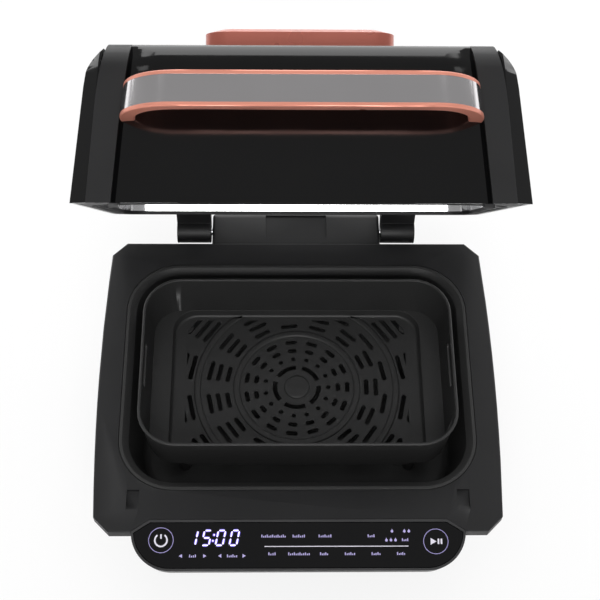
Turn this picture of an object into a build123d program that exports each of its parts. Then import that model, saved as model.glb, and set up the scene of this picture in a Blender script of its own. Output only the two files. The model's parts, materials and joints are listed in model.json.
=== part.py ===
from build123d import *
from math import atan2, cos, radians, sin, tan
import os

os.makedirs("parts", exist_ok=True)

# A countertop air fryer grill with its hinged lid standing open, in millimetres.
# The origin is in the middle of the floor plate's underside. X runs to the right, -Y to the front.

# Deck: the flat octagonal top of the base
DECK_WIDTH = 380.0
DECK_DEPTH = 314.0
DECK_BOW = 4.5
DECK_CORNER = 14.5
DECK_TOP = 128.0
DECK_PLATE = 5.0
DECK_SKIRT = 12.0
DECK_WALL = 3.0
DECK_BEVEL = 1.2

# Base housing under the deck: its walls lean in towards the table
BODY_INSET = 10.0
FRONT_LEAN = 22.0
SIDE_LEAN = 6.0
BACK_LEAN = 2.0
BODY_RADIUS = 34.0
BODY_WALL = 3.0
FLOOR_PLATE = 3.0
FOOT_HEIGHT = 8.0
FOOT_RADIUS = 12.0
FOOT_TAPER = 2.0
FOOT_PEG = 5.0
FOOT_SINK = 1.0
FOOT_INSET = 30.0

# Cooking pot, hung by its flange in the deck
POT_WIDTH = 342.0
POT_DEPTH = 246.0
POT_RADIUS = 53.0
POT_BACK = 27.0
POT_MOUTH_STEP = 9.0
POT_DEEP = 72.0
POT_DRAFT = 9.0
POT_WALL = 2.0
FLANGE_THICK = 2.5
FLANGE_FALL = 5.0
FLANGE_SEAT = 3.5
FLANGE_LAND = 3.0
POT_FLOOR_RADIUS = 9.0

# Crisper basket, standing in the pot
BASKET_WIDTH = 304.0
BASKET_DEPTH = 181.0
BASKET_RADIUS = 34.0
BASKET_LIP = 3.0
BASKET_LIP_THICK = 2.6
BASKET_WALL = 1.6
BASKET_RISE = 28.0
BASKET_DEEP = 62.0
BASKET_DRAFT = 4.0
LEDGE_HEIGHT = 9.0
LEDGE_WIDTH = 21.0
LEDGE_RADIUS = 28.0
WELL_RADIUS = 23.0
WELL_DRAFT = 2.0
GRIP_SLOT = 46.0
GRIP_SLOT_HEIGHT = 9.0
GRIP_SLOT_DROP = 12.0
LEG_RADIUS = 6.0

# Slot pattern of the basket's floor: rings of short slots on spokes round a raised boss
SLOT_WIDTH = 4.4
SPOKES = 15
FLOOR_BOSS_RADIUS = 13.0
HUB_RING = 23.2
HUB_SLOTS = 5
HUB_START = 21.0
HUB_SWEEP = 54.0
HOLE_RING = 31.7
INNER_RINGS = (41.3, 50.9)
MIDDLE_RINGS = (70.0, 79.5)
MIRROR_RINGS = (88.6, 107.5, 116.5, 126.0)
SLOT_SWEEPS = {41.3: 6.0, 50.9: 8.0, 70.0: 10.5, 79.5: 11.0,
               88.6: 11.5, 107.5: 12.5, 116.5: 12.5, 126.0: 12.5}
RIDGE_RINGS = (63.0, 102.5)
RIDGE_WIDTH = 5.0
RIDGE_HEIGHT = 1.0
PATTERN_MARGIN = 7.5
PATTERN_RADIUS = 18.0

# Cavity liner and the pieces under it
LINER_WALL = 1.0
LINER_GAP = 3.0
LINER_FLANGE = 4.0
LINER_CLEAR = 5.0
SHIELD_DROP = 8.0
SHIELD_THICK = 1.0
POST_RADIUS = 4.0
BOARD_THICK = 1.6
BOARD_RISE = 12.0
BOARD_WIDTH = 170.0
BOARD_DEPTH = 90.0

# Control panel at the front, tilted towards the user
CONTROL_WIDTH = 309.0
CONTROL_REACH = 46.5
CONTROL_OVERLAP = 11.0
CONTROL_TILT = 15.0
CONTROL_PROUD = 1.2
CONTROL_CUT_X = 17.0
CONTROL_CUT_Y = 10.5
CONTROL_RIM = 2.2
CONTROL_FACE = 14.0
CHIN_DROP = 56.0
POCKET_DEPTH = 9.0
GLASS_THICK = 2.5
GLASS_SINK = 0.4
DISPLAY_WIDTH = 56.0
DISPLAY_DEPTH = 20.0
DISPLAY_X = -75.0
DISPLAY_Y = -17.0

# Hinge: two arms of the lid turn on pins beside a tower behind the deck
HINGE_BACK = 25.0
HINGE_DROP = 16.0
LID_GAP = 1.0
LID_OPEN = 58.0
TOWER_HALF = 88.0
TOWER_BACK = 18.0
TOWER_TOP_DROP = 5.0
TOWER_LOW = 56.0
TOWER_WALL = 4.0
TOWER_ROUND = 8.0
PIN_RADIUS = 4.0
PIN_CLEAR = 0.05
PIN_REACH = 28.0
PIN_ROOT = 34.0
PIN_HEAD = 6.5
ARM_GAP = 4.5
ARM_WIDTH = 34.0
KNUCKLE_RADIUS = 12.0
ARM_HEIGHT = 46.0
ARM_THICK = 9.0
SPRING_RADIUS = 5.4
SPRING_WIRE = 1.0
SPRING_TURNS = 3
RECESS_HALF = 32.0
RECESS_DEEP = 2.5
TOWER_EDGE = 3.0

# Lid shell: a middle panel between two flat rails, with a lower and wider cheek outside each rail
LID_WIDTH = 378.4
LID_FRONT_BACK = 12.0
LID_REAR_BACK = 2.0
LID_HEIGHT = 133.0
FRONT_FALL = 20.0
REAR_FALL = 8.0
LID_EDGE = 13.0
LID_WALL = 3.0
RAIL_HALF = 174.8
RAIL_KNEE = 80.0
RAIL_KNEE_IN = 6.1
RAIL_TOP_IN = 15.9
RAIL_BOW = 1.3
CHEEK_TOP = 121.0
CHEEK_IN = 12.3
CHEEK_ROUND = 9.0
CHEEK_CUT = 12.0
SEAM_LOW = 154.7
SEAM_KNEE = 149.0
SEAM_HIGH = 140.2
SEAM_BEND = 65.0
PANEL_EDGE = 28.0
PANEL_FALL = 5.0
LOUVRE_Z = 90.0

# Lid underside and the hot pieces in it
FRAME_THICK = 3.0
MOUTH_CLEAR = 3.2
MOUTH_REAR_RADIUS = 24.0
DOME_DEEP = 92.0
DOME_DRAFT = 8.0
DOME_WALL = 1.2
DOME_FLANGE = 6.0
DOME_ROUND = 14.0
GASKET_IN = 2.0
GASKET_WIDTH = 4.0
GASKET_PROUD = 0.5
GASKET_HIGH = 2.0
HEATER_HEIGHT = 64.0
HEATER_OUTER = 94.0
HEATER_INNER = 76.0
HEATER_ROD = 3.2
HEATER_START = 20.0
HEATER_SWEEP = 320.0
HEATER_BEND = 8.0
BUSH_RADIUS = 6.0
BUSH_HEIGHT = 6.0
GUARD_RADIUS = 98.0
GUARD_HEIGHT = 56.0
GUARD_THICK = 1.2
GUARD_RINGS = (22.0, 40.0, 58.0, 76.0)
GUARD_SPOKES = 12
GUARD_SLOT = 12.0
GUARD_BAR = 3.0
GUARD_POST_X = 106.0
GUARD_POST_Y = 25.0
GUARD_POST = 2.5
FAN_RADIUS = 62.0
FAN_HEIGHT = 13.0
FAN_BLADES = 12
FAN_LOW = 72.0
FAN_DISC = 1.2
FAN_PITCH = 25.0
HUB_RADIUS = 8.0
SHAFT_RADIUS = 3.0
SHAFT_CLEAR = 0.05
MOTOR_RADIUS = 30.0
MOTOR_HEIGHT = 30.0
BRACKET_RISE = 10.0
BRACKET_THICK = 1.5
BRACKET_MARGIN = 12.0
COOLER_RADIUS = 34.0
COOLER_HEIGHT = 9.0
COOLER_GAP = 1.0
COOLER_BLADES = 8
PROBE_X = -125.0
PROBE_RADIUS = 2.0
PROBE_LENGTH = 30.0
PROBE_NUT = 5.0

# Vent housing on top of the lid
VENT_WIDTH = 167.0
VENT_DEPTH = 124.0
VENT_RADIUS = 20.0
VENT_WALL_HEIGHT = 20.0
VENT_HEIGHT = 24.0
VENT_SHOULDER = 11.0
VENT_PLATE_HEIGHT = 3.0
VENT_PLATE_IN = 9.0
VENT_WALL = 3.0
VENT_OPENING_IN = 18.0
LOUVRES = 11
LOUVRE_PITCH = 12.0
LOUVRE_WIDTH = 4.0
LOUVRE_LENGTH = 26.0

# Handle: a bowed bar with a metal face let into it
HANDLE_HALF = 147.8
HANDLE_OUT = 45.0
HANDLE_STEM = 1.0
HANDLE_LOW = 68.0
HANDLE_TALL = 29.0
HANDLE_TAPER = 0.105
HANDLE_THICK = 12.0
HANDLE_EDGE = 0.8
INLAY_MARGIN = 3.3
INLAY_THICK = 1.6
INLAY_SINK = 0.2
INLAY_FOOT = 1.5
SCREW_RADIUS = 2.0
SCREW_HEAD = 3.5
SCREW_HEAD_HIGH = 2.4
SUNK_HEAD_HIGH = 1.6
SCREW_SEAT = 1.2
SCREW_LENGTH = 12.0
HANDLE_SCREW_LENGTH = 20.0
HANDLE_SCREW_SHARES = (0.3, 0.7)
HANDLE_PAD = 9.0
SCREW_CLEAR = 0.1

# Bosses that the screws of the lid frame and of the floor plate go into
BOSS_RADIUS = 5.0
BOSS_HEIGHT_LID = 14.0
BOSS_HEIGHT_BASE = 16.0
BOSS_SINK = 0.6
BOSS_REACH = 12.0
BOSS_WEB = 3.0

# Cord gland in the back of the base
GLAND_X = -120.0
GLAND_Z = 20.0
GLAND_RADIUS = 7.0
GLAND_FLANGE = 10.0
GLAND_LENGTH = 18.0
CORD_RADIUS = 2.9

# Pockets in the deck that take two pegs of the lid
POCKET_X = 154.5
POCKET_FRONT = 273.0
POCKET_WIDTH = 11.5
POCKET_LENGTH = 20.0
POCKET_DEEP = 3.5
POCKET_SLOPE = 6.0
PEG_HEIGHT = 3.0
PEG_CLEAR = 1.5

# Clearances
FIT = 0.3
SEAT_GAP = 0.6

HALF_DEPTH = DECK_DEPTH / 2
POT_Y = HALF_DEPTH - POT_BACK - POT_DEPTH / 2
BODY_TOP = DECK_TOP - DECK_PLATE
SKIRT_LOW = DECK_TOP - DECK_SKIRT
HINGE_Y = HALF_DEPTH + HINGE_BACK
HINGE_Z = DECK_TOP - HINGE_DROP
SWING = radians(LID_OPEN)
RIM_RISE = HINGE_DROP + LID_GAP


# The lid's own plane: z = 0 is its rim, x and y are those of the closed lid over the deck
LID = Plane(
    (0, HINGE_Y - HINGE_Y * cos(SWING) + RIM_RISE * sin(SWING),
     HINGE_Z + HINGE_Y * sin(SWING) + RIM_RISE * cos(SWING)),
    x_dir=(1, 0, 0),
    z_dir=(0, sin(SWING), cos(SWING)),
)
LID_UP = Axis(LID.origin, LID.z_dir)


def lid_level(height, y=0.0, x=0.0):
    """Plane across the lid at a height over its rim."""
    return Plane(LID.from_local_coords(Vector(x, y, height)), x_dir=LID.x_dir, z_dir=LID.z_dir)


def lid_side(x):
    """Upright plane along the lid at x, drawn in the lid's own y and height."""
    return Plane(LID.from_local_coords(Vector(x, 0, 0)), x_dir=LID.y_dir, z_dir=LID.x_dir)


def rounded(plane, width, depth, radius):
    """A rounded rectangle drawn on a plane."""
    with BuildSketch(plane) as outline:
        RectangleRounded(width, depth, radius)
    return outline.sketch


def pot_level(height):
    """Level plane centred on the pot."""
    return Plane((0, POT_Y, height))


def body_outline(height, inset=0.0):
    """Outline of the base housing at a height over the floor plate's underside."""
    drop = BODY_TOP - height
    front = -HALF_DEPTH + BODY_INSET + drop * tan(radians(FRONT_LEAN)) + inset
    back = HALF_DEPTH - BODY_INSET - drop * tan(radians(BACK_LEAN)) - inset
    half = DECK_WIDTH / 2 - BODY_INSET - drop * tan(radians(SIDE_LEAN)) - inset
    middle = Plane((0, (front + back) / 2, height))
    return rounded(middle, 2 * half, back - front, BODY_RADIUS - inset)


def deck_outline(height, inset=0.0):
    """Octagonal deck outline with slightly bowed sides."""
    half = DECK_WIDTH / 2
    with BuildSketch(Plane.XY.offset(height)) as outline:
        with BuildLine():
            Polyline((0, HALF_DEPTH), (half - DECK_CORNER, HALF_DEPTH), (half, HALF_DEPTH - DECK_CORNER))
            ThreePointArc((half, HALF_DEPTH - DECK_CORNER), (half + DECK_BOW, 0),
                          (half, DECK_CORNER - HALF_DEPTH))
            Polyline((half, DECK_CORNER - HALF_DEPTH), (half - DECK_CORNER, -HALF_DEPTH), (0, -HALF_DEPTH))
            mirror(about=Plane.YZ)
        make_face()
        if inset:
            offset(amount=-inset, kind=Kind.INTERSECTION)
    return outline.sketch


# The control panel's tilted plane: its y = 0 is the panel's back edge on the deck
CONTROL_BACK = CONTROL_OVERLAP - HALF_DEPTH
TILT = radians(CONTROL_TILT)
CONTROL = Plane((0, CONTROL_BACK, DECK_TOP + CONTROL_PROUD), x_dir=(1, 0, 0),
                z_dir=(0, -sin(TILT), cos(TILT)))


def control_outline(sink=0.0, inset=0.0):
    """Outline of the control panel, sunk below its face and drawn in from its edge."""
    half = CONTROL_WIDTH / 2
    turn = CONTROL_REACH - CONTROL_CUT_Y
    with BuildSketch(CONTROL.offset(-sink)) as outline:
        with BuildLine():
            Polyline((0, 0), (half - CONTROL_CUT_X, 0), (half, -CONTROL_CUT_Y))
            RadiusArc((half, -CONTROL_CUT_Y), (half - turn, -CONTROL_REACH), turn)
            Line((half - turn, -CONTROL_REACH), (0, -CONTROL_REACH))
            mirror(about=Plane.YZ)
        make_face()
        if inset:
            offset(amount=-inset, kind=Kind.INTERSECTION)
    return outline.sketch


# Base housing
FLOOR_TOP = FLOOR_PLATE
BASE_HALF = DECK_WIDTH / 2 - BODY_INSET - (BODY_TOP - FLOOR_TOP) * tan(radians(SIDE_LEAN)) - BODY_WALL
BOSS_X = BASE_HALF - BOSS_REACH
BOSS_ROWS = (POT_Y - 2 * BOSS_REACH, POT_Y + 2 * BOSS_REACH)
BASE_SCREWS = [(side * BOSS_X, y) for side in (-1, 1) for y in BOSS_ROWS]
with BuildPart() as base_housing:
    loft([body_outline(0), body_outline(BODY_TOP)])
    loft([body_outline(0, BODY_WALL), body_outline(BODY_TOP, BODY_WALL)], mode=Mode.SUBTRACT)
    with BuildSketch(Plane.XZ.offset(-HALF_DEPTH)):
        with Locations((0, TOWER_LOW - LOUVRE_LENGTH / 2)):
            with GridLocations(LOUVRE_PITCH, 0, LOUVRES, 1):
                Rectangle(LOUVRE_WIDTH, LOUVRE_LENGTH)
    extrude(amount=BODY_INSET + 3 * BODY_WALL, mode=Mode.SUBTRACT)
    # Bosses on webs for the floor plate's screws, and the hole for the cord gland
    with BuildSketch(Plane.XY.offset(FLOOR_TOP)):
        for side in (-1, 1):
            for y in BOSS_ROWS:
                with Locations((side * BOSS_X, y)):
                    Circle(BOSS_RADIUS)
                with Locations((side * (BOSS_X + BOSS_REACH / 2 + 1), y)):
                    Rectangle(BOSS_REACH + 2, BOSS_WEB)
    extrude(amount=BOSS_HEIGHT_BASE)
    with BuildSketch(Plane.XY.offset(FLOOR_TOP)):
        with Locations(*BASE_SCREWS):
            Circle(SCREW_RADIUS + SCREW_CLEAR)
    extrude(amount=BOSS_HEIGHT_BASE - BOSS_WEB, mode=Mode.SUBTRACT)
    with BuildSketch(Plane.XZ.offset(-HALF_DEPTH)):
        with Locations((GLAND_X, GLAND_Z)):
            Circle(GLAND_RADIUS + SCREW_CLEAR)
    extrude(amount=BODY_INSET + 3 * BODY_WALL, mode=Mode.SUBTRACT)
base_housing.part.label = "base_housing"
export_step(base_housing.part, "parts/base_housing.step")

# Floor plate with the posts that carry the board and the heat shield
LINER_FLOOR = BODY_TOP - POT_DEEP - LINER_CLEAR
SHIELD_Z = LINER_FLOOR - LINER_WALL - SHIELD_DROP
FOOT_X = DECK_WIDTH / 2 - BODY_INSET - FOOT_INSET - FOOT_RADIUS
FOOT_FRONT = -HALF_DEPTH + BODY_INSET + BODY_TOP * tan(radians(FRONT_LEAN)) + FOOT_INSET
FOOT_BACK = HALF_DEPTH - BODY_INSET - FOOT_INSET
SHIELD_POST_X = BOARD_WIDTH / 2 + FOOT_INSET
SHIELD_POST_Y = BOARD_DEPTH / 2 + POST_RADIUS
FEET = [(sx * FOOT_X, y) for sx in (-1, 1) for y in (FOOT_FRONT, FOOT_BACK)]
with BuildPart() as floor_plate:
    extrude(body_outline(0, BODY_WALL + FIT), amount=FLOOR_PLATE)
    with BuildSketch(Plane.XY.offset(FLOOR_TOP)):
        with Locations((0, POT_Y)):
            with GridLocations(2 * SHIELD_POST_X, 2 * SHIELD_POST_Y, 2, 2):
                Circle(POST_RADIUS)
    extrude(amount=SHIELD_Z - FLOOR_TOP)
    with BuildSketch(Plane.XY.offset(FLOOR_TOP)):
        with Locations((0, POT_Y)):
            with GridLocations(BOARD_WIDTH - 4 * POST_RADIUS, BOARD_DEPTH - 4 * POST_RADIUS, 2, 2):
                Circle(POST_RADIUS)
    extrude(amount=BOARD_RISE)
    with BuildSketch(Plane.XY):
        with Locations(*FEET):
            Circle(FOOT_PEG)
        with Locations(*BASE_SCREWS):
            Circle(SCREW_RADIUS + SCREW_CLEAR)
    extrude(amount=FLOOR_PLATE, mode=Mode.SUBTRACT)
    # Shallow seats for the feet and deeper ones for the screws' heads
    with BuildSketch(Plane.XY):
        with Locations(*FEET):
            Circle(FOOT_RADIUS + FIT)
    extrude(amount=FOOT_SINK, mode=Mode.SUBTRACT)
    with BuildSketch(Plane.XY):
        with Locations(*BASE_SCREWS):
            Circle(SCREW_HEAD + SCREW_CLEAR)
    extrude(amount=FLOOR_PLATE - SCREW_SEAT, mode=Mode.SUBTRACT)
floor_plate.part.label = "floor_plate"
export_step(floor_plate.part, "parts/floor_plate.step")

# Screws that hold the floor plate, with their heads sunk in its underside
with BuildPart() as base_screws:
    with BuildSketch(Plane.XY.offset(FLOOR_PLATE - SCREW_SEAT)):
        with Locations(*BASE_SCREWS):
            Circle(SCREW_RADIUS)
    extrude(amount=SCREW_LENGTH)
    with BuildSketch(Plane.XY.offset(FLOOR_PLATE - SCREW_SEAT)):
        with Locations(*BASE_SCREWS):
            RegularPolygon(SCREW_HEAD, 6)
    extrude(amount=-SUNK_HEAD_HIGH)
base_screws.part.label = "base_screws"
export_step(base_screws.part, "parts/base_screws.step")

# Gland that the mains cord comes out of
with BuildPart() as cord_gland:
    with BuildSketch(Plane.XZ.offset(BODY_INSET - HALF_DEPTH + 2 * BODY_WALL)):
        with Locations((GLAND_X, GLAND_Z)):
            Circle(GLAND_RADIUS)
    extrude(amount=-GLAND_LENGTH)
    with BuildSketch(Plane.XZ.offset(BODY_INSET - HALF_DEPTH)):
        with Locations((GLAND_X, GLAND_Z)):
            Circle(GLAND_FLANGE)
    extrude(amount=-BODY_WALL)
    with BuildSketch(Plane.XZ.offset(BODY_INSET - HALF_DEPTH + 2 * BODY_WALL - GLAND_LENGTH)):
        with Locations((GLAND_X, GLAND_Z)):
            Circle(CORD_RADIUS)
    extrude(amount=BODY_WALL, mode=Mode.SUBTRACT)
cord_gland.part.label = "cord_gland"
export_step(cord_gland.part, "parts/cord_gland.step")

# Four rubber feet, each with a peg in the floor plate
with BuildPart() as rubber_feet:
    with BuildSketch(Plane.XY):
        with Locations(*FEET):
            Circle(FOOT_PEG - FIT)
    extrude(amount=FLOOR_PLATE)
    with BuildSketch(Plane.XY):
        with Locations(*FEET):
            Circle(FOOT_RADIUS)
    extrude(amount=FOOT_SINK)
    for spot in FEET:
        with BuildSketch(Plane((spot[0], spot[1], -FOOT_HEIGHT))):
            Circle(FOOT_RADIUS - FOOT_TAPER)
        with BuildSketch(Plane((spot[0], spot[1], 0))):
            Circle(FOOT_RADIUS)
        loft()
rubber_feet.part.label = "rubber_feet"
export_step(rubber_feet.part, "parts/rubber_feet.step")

# Heat shield between the liner and the electronics, standing on the four posts
with BuildPart() as heat_shield:
    with BuildSketch(pot_level(SHIELD_Z)):
        RectangleRounded(2 * SHIELD_POST_X + 4 * POST_RADIUS, 2 * SHIELD_POST_Y + 4 * POST_RADIUS,
                         POST_RADIUS)
    extrude(amount=SHIELD_THICK)
heat_shield.part.label = "heat_shield"
export_step(heat_shield.part, "parts/heat_shield.step")

# Power board on its own four posts, with a transformer and two capacitors
BOARD_Z = FLOOR_TOP + BOARD_RISE
with BuildPart() as power_board:
    with BuildSketch(pot_level(BOARD_Z)):
        Rectangle(BOARD_WIDTH, BOARD_DEPTH)
    extrude(amount=BOARD_THICK)
    with BuildSketch(pot_level(BOARD_Z + BOARD_THICK)):
        with Locations((-BOARD_WIDTH / 4, 0)):
            Rectangle(BOARD_DEPTH / 3, BOARD_DEPTH / 4)
        with Locations((BOARD_WIDTH / 5, BOARD_DEPTH / 5), (BOARD_WIDTH / 5, -BOARD_DEPTH / 5)):
            Circle(1.5 * POST_RADIUS)
    extrude(amount=BOARD_RISE - 2 * BOARD_THICK)
power_board.part.label = "power_board"
export_step(power_board.part, "parts/power_board.step")

# Deck cover: octagonal top plate with a skirt, the pot's seat, the panel's notch and two pockets
POCKET_REAR = HALF_DEPTH - POCKET_FRONT
POT_HOLE_X = POT_WIDTH - 2 * FLANGE_SEAT
POT_HOLE_Y = POT_DEPTH - 2 * FLANGE_SEAT
with BuildPart() as deck_cover:
    extrude(deck_outline(SKIRT_LOW), amount=DECK_SKIRT)
    chamfer(deck_cover.faces().sort_by(Axis.Z)[-1].edges(), length=DECK_BEVEL)
    extrude(deck_outline(SKIRT_LOW, DECK_WALL), amount=DECK_SKIRT - DECK_PLATE, mode=Mode.SUBTRACT)
    extrude(rounded(pot_level(BODY_TOP), POT_HOLE_X, POT_HOLE_Y, POT_RADIUS - FLANGE_SEAT),
            amount=DECK_PLATE, mode=Mode.SUBTRACT)
    extrude(rounded(pot_level(DECK_TOP - FLANGE_THICK), POT_WIDTH + 2 * SEAT_GAP, POT_DEPTH + 2 * SEAT_GAP,
                    POT_RADIUS + SEAT_GAP), amount=FLANGE_THICK, mode=Mode.SUBTRACT)
    extrude(control_outline(inset=-FIT), amount=DECK_SKIRT, both=True, mode=Mode.SUBTRACT)
    for middle in (-POCKET_X, POCKET_X):
        with BuildSketch(Plane.YZ.offset(middle)):
            Polygon((POCKET_REAR, DECK_TOP), (POCKET_REAR, DECK_TOP - POCKET_DEEP),
                    (POCKET_REAR - POCKET_LENGTH + POCKET_SLOPE, DECK_TOP - POCKET_DEEP),
                    (POCKET_REAR - POCKET_LENGTH, DECK_TOP), align=None)
        extrude(amount=POCKET_WIDTH / 2, both=True, mode=Mode.SUBTRACT)
deck_cover.part.label = "deck_cover"
export_step(deck_cover.part, "parts/deck_cover.step")

# Cavity liner: the steel tub that the pot hangs in
LINER_X = POT_HOLE_X + 2 * LINER_GAP
LINER_Y = POT_HOLE_Y + 2 * LINER_GAP
LINER_R = POT_RADIUS - FLANGE_SEAT + LINER_GAP
with BuildPart() as cavity_liner:
    loft([rounded(pot_level(LINER_FLOOR - LINER_WALL), LINER_X - 2 * POT_DRAFT, LINER_Y - 2 * POT_DRAFT,
                  LINER_R),
          rounded(pot_level(BODY_TOP), LINER_X, LINER_Y, LINER_R)])
    extrude(rounded(pot_level(BODY_TOP), LINER_X + 2 * LINER_FLANGE, LINER_Y + 2 * LINER_FLANGE,
                    LINER_R + LINER_FLANGE), amount=-LINER_WALL)
    loft([rounded(pot_level(LINER_FLOOR), LINER_X - 2 * POT_DRAFT - 2 * LINER_WALL,
                  LINER_Y - 2 * POT_DRAFT - 2 * LINER_WALL, LINER_R - LINER_WALL),
          rounded(pot_level(BODY_TOP), LINER_X - 2 * LINER_WALL, LINER_Y - 2 * LINER_WALL,
                  LINER_R - LINER_WALL)], mode=Mode.SUBTRACT)
cavity_liner.part.label = "cavity_liner"
export_step(cavity_liner.part, "parts/cavity_liner.step")

# Cooking pot: a flange that falls inwards, tapered walls and a rounded floor
POT_FLOOR_Z = DECK_TOP - POT_DEEP
MOUTH_X = POT_WIDTH - 2 * POT_MOUTH_STEP
MOUTH_Y = POT_DEPTH - 2 * POT_MOUTH_STEP
MOUTH_R = POT_RADIUS - POT_MOUTH_STEP
NECK_Z = DECK_TOP - FLANGE_FALL
COLLAR_IN = FLANGE_SEAT + SEAT_GAP
SKIN = 2 * POT_WALL
with BuildPart() as pot_form:
    loft([rounded(pot_level(POT_FLOOR_Z - POT_WALL), MOUTH_X + SKIN - 2 * POT_DRAFT,
                  MOUTH_Y + SKIN - 2 * POT_DRAFT, MOUTH_R + POT_WALL),
          rounded(pot_level(NECK_Z), MOUTH_X + SKIN, MOUTH_Y + SKIN, MOUTH_R + POT_WALL)])
    fillet(pot_form.faces().sort_by(Axis.Z)[0].edges(), POT_FLOOR_RADIUS + POT_WALL)
with BuildPart() as pot_hollow:
    loft([rounded(pot_level(POT_FLOOR_Z), MOUTH_X - 2 * POT_DRAFT, MOUTH_Y - 2 * POT_DRAFT, MOUTH_R),
          rounded(pot_level(NECK_Z), MOUTH_X, MOUTH_Y, MOUTH_R)])
    fillet(pot_hollow.faces().sort_by(Axis.Z)[0].edges(), POT_FLOOR_RADIUS)
with BuildPart() as cooking_pot:
    add(pot_form.part)
    loft([rounded(pot_level(NECK_Z), MOUTH_X + SKIN, MOUTH_Y + SKIN, MOUTH_R + POT_WALL),
          rounded(pot_level(DECK_TOP - FLANGE_THICK), POT_WIDTH - 2 * COLLAR_IN, POT_DEPTH - 2 * COLLAR_IN,
                  POT_RADIUS - COLLAR_IN)])
    extrude(rounded(pot_level(DECK_TOP), POT_WIDTH, POT_DEPTH, POT_RADIUS), amount=-FLANGE_THICK)
    add(pot_hollow.part, mode=Mode.SUBTRACT)
    loft([rounded(pot_level(NECK_Z), MOUTH_X, MOUTH_Y, MOUTH_R),
          rounded(pot_level(DECK_TOP), POT_WIDTH - 2 * FLANGE_LAND, POT_DEPTH - 2 * FLANGE_LAND,
                  POT_RADIUS - FLANGE_LAND)], mode=Mode.SUBTRACT)
cooking_pot.part.label = "cooking_pot"
export_step(cooking_pot.part, "parts/cooking_pot.step")

# Crisper basket: drawn walls with a rolled lip, a ledge at each side, grip slots and a slotted floor
BASKET_TOP = DECK_TOP + BASKET_RISE
BASKET_FLOOR = BASKET_TOP - BASKET_DEEP
LEDGE_Z = BASKET_FLOOR + LEDGE_HEIGHT
BODY_X = BASKET_WIDTH - 2 * BASKET_LIP
BODY_Y = BASKET_DEPTH - 2 * BASKET_LIP
LEDGE_X = BODY_X - 2 * BASKET_DRAFT
LEDGE_Y = BODY_Y - 2 * BASKET_DRAFT
WELL_X = LEDGE_X - 2 * LEDGE_WIDTH


def basket_tub(skin):
    """The basket's inner hollow, or with a skin its outer form."""
    with BuildPart() as tub:
        loft([rounded(pot_level(LEDGE_Z - skin), LEDGE_X + 2 * skin, LEDGE_Y + 2 * skin, LEDGE_RADIUS + skin),
              rounded(pot_level(BASKET_TOP), BODY_X + 2 * skin, BODY_Y + 2 * skin, BASKET_RADIUS + skin)])
        loft([rounded(pot_level(BASKET_FLOOR - skin), WELL_X + 2 * skin, LEDGE_Y - WELL_DRAFT + 2 * skin,
                      WELL_RADIUS + skin),
              rounded(pot_level(LEDGE_Z), WELL_X + 2 * WELL_DRAFT + 2 * skin, LEDGE_Y + 2 * skin,
                      WELL_RADIUS + skin)])
    return tub.part


def ring_slots(ring, start, sweep):
    """One ring of slots of the floor pattern, from a start angle on each spoke."""
    with BuildSketch(pot_level(BASKET_FLOOR - BASKET_WALL)) as slots:
        with PolarLocations(ring, SPOKES, start):
            Rectangle(SLOT_WIDTH, 2 * ring * sin(radians(sweep)))
    return slots.sketch


def slot_pattern():
    """All the floor slots, cut off where they come near the floor's edge."""
    floor_half = WELL_X / 2 - PATTERN_MARGIN
    with BuildSketch(pot_level(BASKET_FLOOR - BASKET_WALL)) as pattern:
        for ring in INNER_RINGS + MIDDLE_RINGS:
            add(ring_slots(ring, 0, SLOT_SWEEPS[ring] / 2))
    # The outer rings are laid out the same way on both sides of the middle
    with BuildSketch(pot_level(BASKET_FLOOR - BASKET_WALL)) as left_rings:
        for ring in MIRROR_RINGS:
            add(ring_slots(ring, 0, SLOT_SWEEPS[ring] / 2))
        with Locations((floor_half, 0)):
            Rectangle(2 * floor_half, 4 * floor_half, mode=Mode.SUBTRACT)
    with BuildSketch(pot_level(BASKET_FLOOR - BASKET_WALL)) as field:
        add(pattern.sketch)
        add(left_rings.sketch)
        mirror(left_rings.sketch, about=Plane.YZ)
        with PolarLocations(HOLE_RING, SPOKES):
            RegularPolygon(SLOT_WIDTH / 2, 8)
        for place in range(HUB_SLOTS):
            SlotArc(CenterArc((0, 0), HUB_RING, HUB_START + place * 360 / HUB_SLOTS, HUB_SWEEP), SLOT_WIDTH)
        RectangleRounded(2 * floor_half, LEDGE_Y - 2 * PATTERN_MARGIN, PATTERN_RADIUS, mode=Mode.INTERSECT)
    return field.sketch


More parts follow.
